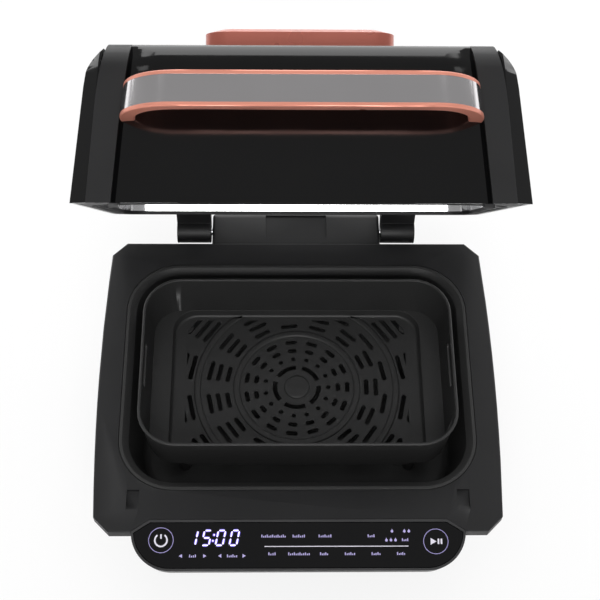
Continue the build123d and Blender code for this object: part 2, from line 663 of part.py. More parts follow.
with BuildPart() as crisper_basket:
    add(basket_tub(BASKET_WALL))
    extrude(rounded(pot_level(BASKET_TOP), BASKET_WIDTH, BASKET_DEPTH, BASKET_RADIUS + BASKET_LIP),
            amount=-BASKET_LIP_THICK)
    add(basket_tub(0), mode=Mode.SUBTRACT)
    # Round ridges pressed up in the floor, and the raised boss in the middle
    with BuildSketch(pot_level(BASKET_FLOOR)):
        for radius in RIDGE_RINGS:
            Circle(radius)
            Circle(radius - RIDGE_WIDTH, mode=Mode.SUBTRACT)
        Rectangle(WELL_X - BASKET_WALL, LEDGE_Y - 2 * BASKET_WALL, mode=Mode.INTERSECT)
        Circle(FLOOR_BOSS_RADIUS)
    extrude(amount=RIDGE_HEIGHT)
    extrude(slot_pattern(), amount=BASKET_WALL + RIDGE_HEIGHT, mode=Mode.SUBTRACT)
    # A grip slot through each side wall, and four legs that stand in the pot
    with BuildSketch(Plane.YZ.offset(-BASKET_WIDTH / 2)):
        with Locations((POT_Y, BASKET_TOP - GRIP_SLOT_DROP)):
            RectangleRounded(GRIP_SLOT, GRIP_SLOT_HEIGHT, GRIP_SLOT_HEIGHT / 3)
    extrude(amount=BASKET_WIDTH, mode=Mode.SUBTRACT)
    with BuildSketch(pot_level(BASKET_FLOOR - BASKET_WALL)):
        with GridLocations(WELL_X - 4 * LEG_RADIUS, LEDGE_Y - 5 * LEG_RADIUS, 2, 2):
            Circle(LEG_RADIUS)
    extrude(amount=POT_FLOOR_Z - BASKET_FLOOR + BASKET_WALL)
crisper_basket.part.label = "crisper_basket"
export_step(crisper_basket.part, "parts/crisper_basket.step")

# Control housing: the tilted panel's frame and the chin under it, fitted to the base's front wall
CONTROL_TOP = DECK_TOP + CONTROL_PROUD


def panel_height(y):
    """Height of the panel's tilted face at a place along the depth."""
    return CONTROL_TOP + (y - CONTROL_BACK) * tan(TILT)


CHIN_FRONT = CONTROL_BACK - CONTROL_REACH - CONTROL_FACE
CHIN_BACK = CONTROL_BACK + CONTROL_OVERLAP
CHIN_LOW = DECK_TOP - CHIN_DROP
with BuildPart() as control_housing:
    with BuildSketch(Plane.YZ):
        with BuildLine():
            Polyline((CHIN_BACK, panel_height(CHIN_BACK)), (CHIN_FRONT, panel_height(CHIN_FRONT)),
                     (CHIN_FRONT, panel_height(CHIN_FRONT) - CONTROL_FACE),
                     (CHIN_BACK + 2 * CONTROL_FACE, CHIN_LOW), (CHIN_BACK + 2 * CONTROL_FACE, SKIRT_LOW),
                     (CHIN_BACK, SKIRT_LOW), close=True)
        make_face()
    extrude(amount=CONTROL_WIDTH / 2, both=True)
    extrude(control_outline(sink=2 * CHIN_DROP), amount=3 * CHIN_DROP, mode=Mode.INTERSECT)
    loft([body_outline(0), body_outline(BODY_TOP)], mode=Mode.SUBTRACT)
    extrude(control_outline(sink=POCKET_DEPTH, inset=CONTROL_RIM), amount=2 * POCKET_DEPTH,
            mode=Mode.SUBTRACT)
control_housing.part.label = "control_housing"
export_step(control_housing.part, "parts/control_housing.step")

# Touch panel: one black glass plate let into the frame
with BuildPart() as touch_glass:
    extrude(control_outline(sink=GLASS_SINK + GLASS_THICK, inset=CONTROL_RIM + FIT), amount=GLASS_THICK)
    chamfer(touch_glass.faces().sort_by(Axis(CONTROL.origin, CONTROL.z_dir))[-1].edges(), length=GLASS_SINK)
touch_glass.part.label = "touch_glass"
export_step(touch_glass.part, "parts/touch_glass.step")

# Display board under the glass, with the clock display standing on it
with BuildPart() as display_board:
    extrude(control_outline(sink=POCKET_DEPTH, inset=2 * CONTROL_RIM), amount=BOARD_THICK)
display_board.part.label = "display_board"
export_step(display_board.part, "parts/display_board.step")

with BuildPart() as clock_display:
    with BuildSketch(CONTROL.offset(BOARD_THICK - POCKET_DEPTH)):
        with Locations((DISPLAY_X, DISPLAY_Y)):
            Rectangle(DISPLAY_WIDTH, DISPLAY_DEPTH)
    extrude(amount=POCKET_DEPTH - BOARD_THICK - GLASS_THICK - GLASS_SINK)
clock_display.part.label = "clock_display"
export_step(clock_display.part, "parts/clock_display.step")

# Hinge tower behind the deck, hollow, with a shallow recess in the middle of its top
TOWER_TOP = DECK_TOP - TOWER_TOP_DROP
TOWER_FRONT = HALF_DEPTH + FIT
TOWER_REAR = HINGE_Y + TOWER_BACK
with BuildPart() as hinge_tower:
    with BuildSketch(Plane.YZ):
        with BuildLine():
            Polyline((TOWER_FRONT, SKIRT_LOW - FIT), (TOWER_FRONT, TOWER_TOP), (TOWER_REAR, TOWER_TOP),
                     (TOWER_REAR, HINGE_Z - 2 * TOWER_BACK), (HALF_DEPTH - 2 * BODY_INSET, TOWER_LOW),
                     (HALF_DEPTH - 2 * BODY_INSET, SKIRT_LOW - FIT), close=True)
        make_face()
    extrude(amount=TOWER_HALF, both=True)
    fillet(hinge_tower.edges().filter_by(Axis.X).sort_by(Axis.Y)[-1:], TOWER_ROUND)
    fillet(hinge_tower.faces().sort_by(Axis.Z)[-1].edges().filter_by(Axis.Y), TOWER_EDGE)
    loft([body_outline(0), body_outline(BODY_TOP)], mode=Mode.SUBTRACT)
    with BuildSketch(Plane.YZ):
        with BuildLine():
            Polyline((TOWER_FRONT + TOWER_WALL, SKIRT_LOW - FIT - TOWER_WALL),
                     (TOWER_FRONT + TOWER_WALL, TOWER_TOP - TOWER_WALL),
                     (TOWER_REAR - TOWER_WALL, TOWER_TOP - TOWER_WALL),
                     (TOWER_REAR - TOWER_WALL, HINGE_Z - 2 * TOWER_BACK + TOWER_WALL),
                     (HALF_DEPTH, TOWER_LOW + 3 * TOWER_WALL),
                     (HALF_DEPTH, SKIRT_LOW - FIT - TOWER_WALL), close=True)
        make_face()
    extrude(amount=TOWER_HALF - TOWER_WALL, both=True, mode=Mode.SUBTRACT)
    with BuildSketch(Plane.XY.offset(TOWER_TOP)):
        with Locations((0, HINGE_Y)):
            Rectangle(2 * RECESS_HALF, 2 * TOWER_BACK - 2 * TOWER_WALL)
    extrude(amount=-RECESS_DEEP, mode=Mode.SUBTRACT)
    with BuildSketch(Plane.YZ.offset(-TOWER_HALF)):
        with Locations((HINGE_Y, HINGE_Z)):
            Circle(PIN_RADIUS + PIN_CLEAR)
    extrude(amount=2 * TOWER_HALF, mode=Mode.SUBTRACT)
hinge_tower.part.label = "hinge_tower"
export_step(hinge_tower.part, "parts/hinge_tower.step")

# Hinge pins through the tower's side walls, each with a head inside the tower
ARM_IN = TOWER_HALF + ARM_GAP
with BuildPart() as hinge_pins:
    with BuildSketch(Plane.YZ.offset(TOWER_HALF - PIN_ROOT)):
        with Locations((HINGE_Y, HINGE_Z)):
            Circle(PIN_RADIUS)
    extrude(amount=PIN_ROOT + ARM_GAP + PIN_REACH - 1)
    mirror(about=Plane.YZ)
hinge_pins.part.label = "hinge_pins"
export_step(hinge_pins.part, "parts/hinge_pins.step")

# Brackets inside the tower that hold the pins' inner ends
with BuildPart() as pin_brackets:
    with BuildSketch(Plane.YZ.offset(TOWER_HALF - PIN_ROOT)):
        with BuildLine():
            Polyline((HINGE_Y - 2 * PIN_RADIUS, HINGE_Z + PIN_HEAD),
                     (HINGE_Y + 2 * PIN_RADIUS, HINGE_Z + PIN_HEAD),
                     (HINGE_Y + 2 * PIN_RADIUS, HINGE_Z - 2 * TOWER_BACK + 2 * TOWER_WALL),
                     (HINGE_Y - 2 * PIN_RADIUS, HINGE_Z - 2 * TOWER_BACK + TOWER_WALL), close=True)
        make_face()
        with Locations((HINGE_Y, HINGE_Z)):
            Circle(PIN_RADIUS + PIN_CLEAR, mode=Mode.SUBTRACT)
    extrude(amount=TOWER_WALL)
    mirror(about=Plane.YZ)
pin_brackets.part.label = "pin_brackets"
export_step(pin_brackets.part, "parts/pin_brackets.step")

# Torsion springs wound round the pins between bracket and wall, which carry part of the lid's weight
SPRING_LENGTH = PIN_ROOT - 3 * TOWER_WALL
SPRING_X = TOWER_HALF - PIN_ROOT + 1.5 * TOWER_WALL
with BuildPart() as hinge_springs:
    with BuildLine() as coil:
        Helix(SPRING_LENGTH / SPRING_TURNS, SPRING_LENGTH, SPRING_RADIUS, center=(SPRING_X, HINGE_Y, HINGE_Z),
              direction=(1, 0, 0))
    with BuildSketch(Plane(coil.line @ 0, z_dir=coil.line % 0)):
        RegularPolygon(SPRING_WIRE, 4)
    sweep(is_frenet=True)
    mirror(about=Plane.YZ)
hinge_springs.part.label = "hinge_springs"
export_step(hinge_springs.part, "parts/hinge_springs.step")

# Lid shell, closed forms: all are drawn in by an inset where they make its hollow
LID_FRONT = LID_FRONT_BACK - HALF_DEPTH
LID_REAR = HALF_DEPTH - LID_REAR_BACK
LID_RUN = DECK_DEPTH + 2 * HANDLE_OUT
REAR_VIEW = Plane(LID.from_local_coords(Vector(0, LID_REAR + LID_WALL, 0)), x_dir=LID.x_dir, z_dir=-LID.y_dir)


def side_form(inset=0.0):
    """The hood's side view made solid: it leans back at front and rear and has rounded top edges."""
    top = LID_HEIGHT - inset
    share = top / LID_HEIGHT
    with BuildPart() as form:
        with BuildSketch(lid_side(0)) as view:
            Polygon((LID_FRONT + inset, 0), (LID_REAR - inset, 0),
                    (LID_REAR - REAR_FALL * share - inset, top),
                    (LID_FRONT + FRONT_FALL * share + inset, top), align=None)
            fillet(view.vertices().group_by(Axis.Y)[-1], LID_EDGE - inset)
        extrude(amount=LID_WIDTH, both=True)
    return form.part


def centre_zone(inset=0.0):
    """The space between the rails' outer sides, which draw in more and more towards the top."""
    low = RAIL_HALF - inset
    knee = low - RAIL_KNEE_IN
    high = low - RAIL_TOP_IN
    crown = LID_HEIGHT + LID_WALL
    with BuildPart() as zone:
        with BuildSketch(REAR_VIEW):
            with BuildLine():
                Polyline((0, -LID_WALL), (low + RAIL_KNEE_IN * LID_WALL / RAIL_KNEE, -LID_WALL),
                         (knee, RAIL_KNEE))
                ThreePointArc((knee, RAIL_KNEE), ((knee + high) / 2 + RAIL_BOW, (RAIL_KNEE + crown) / 2),
                              (high, crown))
                Line((high, crown), (0, crown))
                mirror(about=Plane.YZ)
            make_face()
        extrude(amount=LID_RUN)
    return zone.part


def centre_form(inset=0.0):
    """The panel and its rails as one solid."""
    with BuildPart() as form:
        add(centre_zone(inset))
        add(side_form(inset), mode=Mode.INTERSECT)
    return form.part


def corner_plane(side, end):
    """Plane that cuts a cheek's corner from the rail's edge outwards; end is -1 in front and 1 behind."""
    face = LID_FRONT if end < 0 else LID_REAR
    fall = FRONT_FALL if end < 0 else REAR_FALL
    rail = Vector(side * RAIL_HALF, face, 0)
    out = Vector(side * LID_WIDTH / 2, face - end * CHEEK_CUT, 0) - rail
    up = Vector(-side * RAIL_KNEE_IN, -end * fall * RAIL_KNEE / LID_HEIGHT, RAIL_KNEE)
    normal = out.cross(up) * (-side * end)
    return Plane(LID.from_local_coords(rail),
                 z_dir=LID.x_dir * normal.X + LID.y_dir * normal.Y + LID.z_dir * normal.Z)


def cheek_form(inset=0.0):
    """The two cheeks as solids, with rounded tops and cut front and rear corners."""
    with BuildPart() as form:
        with BuildSketch(REAR_VIEW) as view:
            Polygon((0, 0), (LID_WIDTH / 2 - inset, 0), (LID_WIDTH / 2 - CHEEK_IN - inset, CHEEK_TOP - inset),
                    (0, CHEEK_TOP - inset), align=None)
            fillet(view.vertices().group_by(Axis.Y)[-1].sort_by(Axis.X)[-1], CHEEK_ROUND - inset)
            mirror(about=Plane.YZ)
        extrude(amount=LID_RUN)
        add(side_form(inset), mode=Mode.INTERSECT)
        for side in (-1, 1):
            for end in (-1, 1):
                split(bisect_by=corner_plane(side, end).offset(-inset), keep=Keep.BOTTOM)
    return form.part


def seam_x(height):
    """Distance of the two seams from the lid's middle at a height."""
    if height < SEAM_BEND:
        return SEAM_LOW - (SEAM_LOW - SEAM_KNEE) * height / SEAM_BEND
    return SEAM_KNEE - (SEAM_KNEE - SEAM_HIGH) * (height - SEAM_BEND) / (LID_HEIGHT - SEAM_BEND)


SEAM_LEVELS = (-LID_WALL, SEAM_BEND, LID_HEIGHT + LID_WALL)


def middle_zone():
    """The space between the two seams, which the middle panel takes up."""
    with BuildPart() as zone:
        with BuildSketch(REAR_VIEW):
            with BuildLine():
                Polyline((0, SEAM_LEVELS[0]), *[(seam_x(level), level) for level in SEAM_LEVELS],
                         (0, SEAM_LEVELS[-1]))
                mirror(about=Plane.YZ)
            make_face()
        extrude(amount=LID_RUN)
    return zone.part


def panel_falls(inset=0.0, lip=0.0):
    """What lies in front of the panel's two rounded side edges, widened by a lip beyond the seam."""
    with BuildPart() as falls:
        for side in (-1, 1):
            sections = []
            for level in SEAM_LEVELS:
                front = LID_FRONT + FRONT_FALL * level / LID_HEIGHT + inset
                seam = seam_x(level)
                with BuildSketch(lid_level(level)) as section:
                    with BuildLine():
                        edge = TangentArc((side * (seam - PANEL_EDGE), front),
                                          (side * seam, front + PANEL_FALL), tangent=(side, 0))
                        step = [(side * (seam + lip), front + PANEL_FALL)] if lip else []
                        Polyline(edge @ 1, *step, (side * (seam + lip), front - LID_WALL),
                                 (side * (seam - PANEL_EDGE), front - LID_WALL), edge @ 0)
                    make_face()
                sections.append(section.sketch)
            loft(sections, ruled=True)
    return falls.part


# Hollow hood with bosses inside its rim, an opening in its top and louvres in its rear wall
FRONT_BOSS_Y = LID_FRONT + LID_WALL + BOSS_RADIUS - BOSS_SINK
REAR_BOSS_Y = LID_REAR - LID_WALL - BOSS_RADIUS + BOSS_SINK
RAIL_SCREW_X = (RAIL_HALF + SEAM_LOW) / 2
LID_SCREWS = [(side * x, y) for side in (-1, 1) for x in (RAIL_SCREW_X, POT_WIDTH / 3)
              for y in (FRONT_BOSS_Y, REAR_BOSS_Y)]
LEAN = atan2(FRONT_FALL, LID_HEIGHT)
FACE_UP = LID.z_dir * cos(LEAN) + LID.y_dir * sin(LEAN)
FACE = Plane(LID.from_local_coords(Vector(0, LID_FRONT, 0)), x_dir=LID.x_dir,
             z_dir=LID.z_dir * sin(LEAN) - LID.y_dir * cos(LEAN))
FOOT_MIDDLE_X = HANDLE_HALF - (HANDLE_THICK + HANDLE_TAPER * HANDLE_TALL) / 2
HANDLE_SCREWS = [(side * FOOT_MIDDLE_X, HANDLE_LOW + HANDLE_TALL * share)
                 for side in (-1, 1) for share in HANDLE_SCREW_SHARES]
with BuildPart() as lid_form:
    add(centre_form())
    add(cheek_form())
    add(panel_falls(), mode=Mode.SUBTRACT)
with BuildPart() as lid_hollow:
    add(centre_form(LID_WALL))
    add(cheek_form(LID_WALL))
    add(panel_falls(LID_WALL, LID_WALL), mode=Mode.SUBTRACT)
    with BuildSketch(FACE.offset(-HANDLE_PAD)):
        with Locations(*HANDLE_SCREWS):
            Circle(BOSS_RADIUS)
    extrude(amount=HANDLE_PAD, mode=Mode.SUBTRACT)
    with BuildSketch(lid_level(FRAME_THICK)):
        with Locations(*LID_SCREWS):
            Circle(BOSS_RADIUS)
    extrude(amount=BOSS_HEIGHT_LID, mode=Mode.SUBTRACT)
with BuildPart() as lid_shell:
    add(lid_form.part)
    add(lid_hollow.part, mode=Mode.SUBTRACT)
    with BuildSketch(lid_level(FRAME_THICK)):
        with Locations(*LID_SCREWS):
            Circle(SCREW_RADIUS + SCREW_CLEAR)
    extrude(amount=BOSS_HEIGHT_LID - LID_WALL, mode=Mode.SUBTRACT)
    with BuildSketch(lid_level(LID_HEIGHT, POT_Y)):
        RectangleRounded(VENT_WIDTH - 2 * VENT_OPENING_IN, VENT_DEPTH - 2 * VENT_OPENING_IN, VENT_RADIUS)
    extrude(amount=-2 * LID_WALL, mode=Mode.SUBTRACT)
    with BuildSketch(Plane(LID.from_local_coords(Vector(0, LID_REAR, LOUVRE_Z)), x_dir=LID.x_dir,
                           z_dir=LID.y_dir)):
        with GridLocations(LOUVRE_PITCH, 0, LOUVRES, 1):
            Rectangle(LOUVRE_WIDTH, LOUVRE_LENGTH)
    extrude(amount=-6 * LID_WALL, mode=Mode.SUBTRACT)
    with BuildSketch(FACE):
        with Locations(*HANDLE_SCREWS):
            Circle(SCREW_RADIUS + SCREW_CLEAR)
    extrude(amount=-2 * HANDLE_PAD, mode=Mode.SUBTRACT)

with BuildPart() as lid_middle_cover:
    add(lid_shell.part)
    add(middle_zone(), mode=Mode.INTERSECT)
lid_middle_cover.part.label = "lid_middle_cover"
export_step(lid_middle_cover.part, "parts/lid_middle_cover.step")

for side, name in ((-1, "left"), (1, "right")):
    with BuildPart() as lid_rail:
        add(lid_shell.part)
        add(centre_zone(), mode=Mode.INTERSECT)
        add(middle_zone(), mode=Mode.SUBTRACT)
        split(bisect_by=Plane.YZ, keep=Keep.TOP if side > 0 else Keep.BOTTOM)
    lid_rail.part.label = f"lid_{name}_rail"
    export_step(lid_rail.part, f"parts/lid_{name}_rail.step")
    with BuildPart() as lid_cheek:
        add(lid_shell.part)
        add(centre_zone(), mode=Mode.SUBTRACT)
        split(bisect_by=Plane.YZ, keep=Keep.TOP if side > 0 else Keep.BOTTOM)
    lid_cheek.part.label = f"lid_{name}_cheek"
    export_step(lid_cheek.part, f"parts/lid_{name}_cheek.step")


def mouth(height, skin=0.0):
    """Outline of the lid's mouth at a height, widened by a skin: it passes the pot's flange all round."""
    with BuildSketch(lid_level(height, POT_Y)) as outline:
        Rectangle(POT_WIDTH + 2 * (MOUTH_CLEAR + skin), POT_DEPTH + 2 * (MOUTH_CLEAR + skin))
        fillet(outline.vertices().group_by(Axis.Y)[0], POT_RADIUS + MOUTH_CLEAR + skin)
        fillet(outline.vertices().group_by(Axis.Y)[-1], MOUTH_REAR_RADIUS + skin)
    return outline.sketch


# Frame that closes the lid's rim, with a groove for the gasket and two pegs for the deck's pockets
GASKET_OUT = GASKET_IN + GASKET_WIDTH
SEAT_Z = FRAME_THICK - SCREW_SEAT
with BuildPart() as gasket_groove:
    extrude(mouth(0, GASKET_OUT + FIT), amount=GASKET_HIGH - GASKET_PROUD)
    extrude(mouth(0, GASKET_IN - FIT), amount=GASKET_HIGH, mode=Mode.SUBTRACT)
with BuildPart() as lid_frame:
    add(centre_form(LID_WALL + FIT))
    add(cheek_form(LID_WALL + FIT))
    add(panel_falls(LID_WALL + FIT, LID_WALL + FIT), mode=Mode.SUBTRACT)
    split(bisect_by=lid_level(FRAME_THICK), keep=Keep.BOTTOM)
    extrude(mouth(0), amount=FRAME_THICK, mode=Mode.SUBTRACT)
    add(gasket_groove.part, mode=Mode.SUBTRACT)
    with BuildSketch(lid_level(0, POCKET_REAR - (POCKET_LENGTH - POCKET_SLOPE) / 2)):
        with Locations((-POCKET_X, 0), (POCKET_X, 0)):
            Rectangle(POCKET_WIDTH - 2 * PEG_CLEAR, POCKET_LENGTH - POCKET_SLOPE - 2 * PEG_CLEAR)
    extrude(amount=-PEG_HEIGHT)
    with BuildSketch(lid_level(0)):
        with Locations(*LID_SCREWS):
            Circle(SCREW_RADIUS + SCREW_CLEAR)
    extrude(amount=FRAME_THICK, mode=Mode.SUBTRACT)
    with BuildSketch(lid_level(0)):
        with Locations(*LID_SCREWS):
            Circle(SCREW_HEAD + SCREW_CLEAR)
    extrude(amount=SEAT_Z, mode=Mode.SUBTRACT)
lid_frame.part.label = "lid_frame"
export_step(lid_frame.part, "parts/lid_frame.step")

# Screws of the lid frame, with their heads sunk in its underside
with BuildPart() as lid_screws:
    with BuildSketch(lid_level(SEAT_Z)):
        with Locations(*LID_SCREWS):
            Circle(SCREW_RADIUS)
    extrude(amount=SCREW_LENGTH)
    with BuildSketch(lid_level(SEAT_Z)):
        with Locations(*LID_SCREWS):
            RegularPolygon(SCREW_HEAD, 6)
    extrude(amount=-SUNK_HEAD_HIGH)
lid_screws.part.label = "lid_screws"
export_step(lid_screws.part, "parts/lid_screws.step")

# Gasket round the lid's mouth
with BuildPart() as lid_gasket:
    extrude(mouth(-GASKET_PROUD, GASKET_OUT), amount=GASKET_HIGH)
    extrude(mouth(-GASKET_PROUD, GASKET_IN), amount=GASKET_HIGH, mode=Mode.SUBTRACT)
lid_gasket.part.label = "lid_gasket"
export_step(lid_gasket.part, "parts/lid_gasket.step")

# Steel dome over the mouth, drawn in towards its top, with a flange that lies on the frame
SHAFT_HOLE = 2 * SHAFT_RADIUS
LEG_COS = cos(radians(HEATER_START))
LEG_SIN = sin(radians(HEATER_START))
HEATER_LEGS = [(ring * LEG_COS + HEATER_BEND * LEG_SIN, ring * LEG_SIN - HEATER_BEND * LEG_COS)
               for ring in (HEATER_OUTER, HEATER_INNER)]


def dome(skin):
    """The dome's outer form, or with a skin its hollow."""
    with BuildPart() as form:
        loft([mouth(0, -skin), mouth(DOME_DEEP - skin, -skin - DOME_DRAFT)])
        fillet(form.faces().sort_by(LID_UP)[-1].edges(), DOME_ROUND - skin)
    return form.part


with BuildPart() as lid_liner:
    add(dome(0))
    extrude(mouth(0, DOME_FLANGE), amount=FRAME_THICK, mode=Mode.SUBTRACT)
    extrude(mouth(FRAME_THICK, DOME_FLANGE), amount=DOME_WALL)
    add(dome(DOME_WALL), mode=Mode.SUBTRACT)
    with BuildSketch(lid_level(DOME_DEEP, POT_Y)):
        Circle(SHAFT_HOLE)
        with Locations(*HEATER_LEGS):
            Circle(HEATER_ROD + FIT)
        with Locations((PROBE_X, 0)):
            Circle(PROBE_RADIUS + FIT)
    extrude(amount=-2 * DOME_WALL, mode=Mode.SUBTRACT)
lid_liner.part.label = "lid_liner"
export_step(lid_liner.part, "parts/lid_liner.step")

# Tubular heater, drawn flat first: out round the fan, back inside, both ends up through the dome
LEG_TOP = DOME_DEEP + BUSH_HEIGHT + HEATER_BEND - HEATER_HEIGHT
LOOP_END = HEATER_START + HEATER_SWEEP
LOOP_MIDDLE = (HEATER_OUTER + HEATER_INNER) / 2
with BuildPart() as heater_form:
    with BuildLine():
        start, end = [Vector(x, y, HEATER_BEND) for x, y in HEATER_LEGS]
        outer = CenterArc((0, 0), HEATER_OUTER, HEATER_START, HEATER_SWEEP)
        CenterArc((LOOP_MIDDLE * cos(radians(LOOP_END)), LOOP_MIDDLE * sin(radians(LOOP_END))),
                  (HEATER_OUTER - HEATER_INNER) / 2, LOOP_END, 180)
        inner = CenterArc((0, 0), HEATER_INNER, LOOP_END, -HEATER_SWEEP)
        Line((start.X, start.Y, LEG_TOP), start)
        TangentArc(start, outer @ 0, tangent=(0, 0, -1))
        TangentArc(inner @ 1, end, tangent=inner % 1)
        Line(end, (end.X, end.Y, LEG_TOP))
    with BuildSketch(Plane.XY.offset(LEG_TOP)):
        with Locations(HEATER_LEGS[0]):
            Circle(HEATER_ROD)
    sweep()
with BuildPart() as heater_element:
    with Locations(lid_level(HEATER_HEIGHT, POT_Y)):
        add(heater_form.part)
heater_element.part.label = "heater_element"
export_step(heater_element.part, "parts/heater_element.step")

# Ceramic bushes round the heater's ends, on top of the dome
with BuildPart() as heater_bushes:
    with BuildSketch(lid_level(DOME_DEEP, POT_Y)):
        with Locations(*HEATER_LEGS):
            Circle(BUSH_RADIUS)
            Circle(HEATER_ROD + SCREW_CLEAR, mode=Mode.SUBTRACT)
    extrude(amount=BUSH_HEIGHT)
heater_bushes.part.label = "heater_bushes"
export_step(heater_bushes.part, "parts/heater_bushes.step")

# Guard under the fan and heater: rings and spokes cut from sheet, hung on four posts from the dome
with BuildPart() as fan_guard:
    with BuildSketch(lid_level(GUARD_HEIGHT, POT_Y)):
        Rectangle(2 * GUARD_POST_X + 4 * GUARD_POST, 2 * GUARD_POST_Y + 4 * GUARD_POST)
        Circle(GUARD_RADIUS)
        with BuildSketch(mode=Mode.PRIVATE) as slots:
            for ring in reversed(GUARD_RINGS):
                Circle(ring + GUARD_SLOT)
                Circle(ring, mode=Mode.SUBTRACT)
            with PolarLocations(GUARD_RADIUS / 2, GUARD_SPOKES):
                Rectangle(GUARD_RADIUS, GUARD_BAR, mode=Mode.SUBTRACT)
        add(slots.sketch, mode=Mode.SUBTRACT)
    extrude(amount=GUARD_THICK)
    with BuildSketch(lid_level(GUARD_HEIGHT, POT_Y)):
        with GridLocations(2 * GUARD_POST_X, 2 * GUARD_POST_Y, 2, 2):
            Circle(GUARD_POST)
    extrude(amount=DOME_DEEP - DOME_WALL - GUARD_HEIGHT)
fan_guard.part.label = "fan_guard"
export_step(fan_guard.part, "parts/fan_guard.step")

# Fan under the dome: a disc with pitched blades on its hub
FAN_TOP = FAN_LOW + FAN_HEIGHT
BLADE_MIDDLE = (FAN_RADIUS + HUB_RADIUS) / 2
with BuildPart() as fan_impeller:
    with BuildSketch(lid_level(FAN_TOP, POT_Y)):
        Circle(FAN_RADIUS)
    extrude(amount=-FAN_DISC)
    with BuildSketch(lid_level(FAN_LOW, POT_Y)):
        Circle(HUB_RADIUS)
        with PolarLocations(BLADE_MIDDLE, FAN_BLADES):
            Rectangle(FAN_RADIUS - 2 * HUB_RADIUS, FAN_DISC, rotation=FAN_PITCH)
    extrude(amount=FAN_HEIGHT)
    with BuildSketch(lid_level(FAN_LOW, POT_Y)):
        Circle(SHAFT_RADIUS)
    extrude(amount=FAN_HEIGHT, mode=Mode.SUBTRACT)
fan_impeller.part.label = "fan_impeller"
export_step(fan_impeller.part, "parts/fan_impeller.step")

# Motor on its bracket over the dome, its shaft down to the fan and up to the cooling fan
MOTOR_LOW = DOME_DEEP + BRACKET_RISE + BRACKET_THICK
COOLER_LOW = MOTOR_LOW + MOTOR_HEIGHT + COOLER_GAP
with BuildPart() as motor_shaft:
    with BuildSketch(lid_level(FAN_LOW, POT_Y)):
        Circle(SHAFT_RADIUS)
    extrude(amount=COOLER_LOW + COOLER_HEIGHT - FAN_LOW)
motor_shaft.part.label = "motor_shaft"
export_step(motor_shaft.part, "parts/motor_shaft.step")

with BuildPart() as motor_bracket:
    with BuildSketch(lid_level(MOTOR_LOW - BRACKET_THICK, POT_Y)):
        RectangleRounded(2 * (MOTOR_RADIUS + BRACKET_MARGIN), 2 * (MOTOR_RADIUS + BRACKET_MARGIN),
                         BRACKET_MARGIN)
        Circle(SHAFT_HOLE, mode=Mode.SUBTRACT)
    extrude(amount=BRACKET_THICK)
    with BuildSketch(lid_level(DOME_DEEP, POT_Y)):
        with GridLocations(2 * MOTOR_RADIUS + BRACKET_MARGIN, 2 * MOTOR_RADIUS + BRACKET_MARGIN, 2, 2):
            Circle(POST_RADIUS)
    extrude(amount=BRACKET_RISE)
motor_bracket.part.label = "motor_bracket"
export_step(motor_bracket.part, "parts/motor_bracket.step")

with BuildPart() as fan_motor:
    with BuildSketch(lid_level(MOTOR_LOW, POT_Y)):
        Circle(MOTOR_RADIUS)
    extrude(amount=MOTOR_HEIGHT)
    chamfer(fan_motor.faces().sort_by(LID_UP)[-1].edges(), length=BRACKET_THICK)
    with BuildSketch(lid_level(MOTOR_LOW, POT_Y)):
        Circle(SHAFT_RADIUS + SHAFT_CLEAR)
    extrude(amount=MOTOR_HEIGHT, mode=Mode.SUBTRACT)
fan_motor.part.label = "fan_motor"
export_step(fan_motor.part, "parts/fan_motor.step")

with BuildPart() as cooling_fan:
    with BuildSketch(lid_level(COOLER_LOW, POT_Y)):
        Circle(COOLER_RADIUS)
    extrude(amount=FAN_DISC)
    with BuildSketch(lid_level(COOLER_LOW, POT_Y)):
        Circle(HUB_RADIUS)
        with PolarLocations((COOLER_RADIUS + HUB_RADIUS) / 2, COOLER_BLADES):
            Rectangle(COOLER_RADIUS - 1.5 * HUB_RADIUS, FAN_DISC, rotation=FAN_PITCH)
    extrude(amount=COOLER_HEIGHT)
    with BuildSketch(lid_level(COOLER_LOW, POT_Y)):
        Circle(SHAFT_RADIUS)
    extrude(amount=COOLER_HEIGHT, mode=Mode.SUBTRACT)
cooling_fan.part.label = "cooling_fan"
export_step(cooling_fan.part, "parts/cooling_fan.step")

# Temperature probe through the dome's top, with its nut
with BuildPart() as temperature_probe:
    with BuildSketch(lid_level(DOME_DEEP - PROBE_LENGTH, POT_Y, PROBE_X)):
        Circle(PROBE_RADIUS)
    extrude(amount=PROBE_LENGTH + 2 * PROBE_NUT)
    with BuildSketch(lid_level(DOME_DEEP, POT_Y, PROBE_X)):
        RegularPolygon(PROBE_NUT, 6)
    extrude(amount=PROBE_NUT)
temperature_probe.part.label = "temperature_probe"
export_step(temperature_probe.part, "parts/temperature_probe.step")

# Vent housing on the lid's top: a hollow block with bevelled shoulders and louvres at its back
VENT_TOP = LID_HEIGHT + VENT_HEIGHT
VENT_EDGE = LID_HEIGHT + VENT_WALL_HEIGHT
VENT_MIDDLE = LID_HEIGHT + VENT_WALL_HEIGHT / 2


def vent_outline(height, inset):
    """Outline of the vent block at a height over the lid's rim, drawn in by an inset."""
    return rounded(lid_level(height, POT_Y), VENT_WIDTH - 2 * inset, VENT_DEPTH - 2 * inset,
                   VENT_RADIUS - inset / 2)


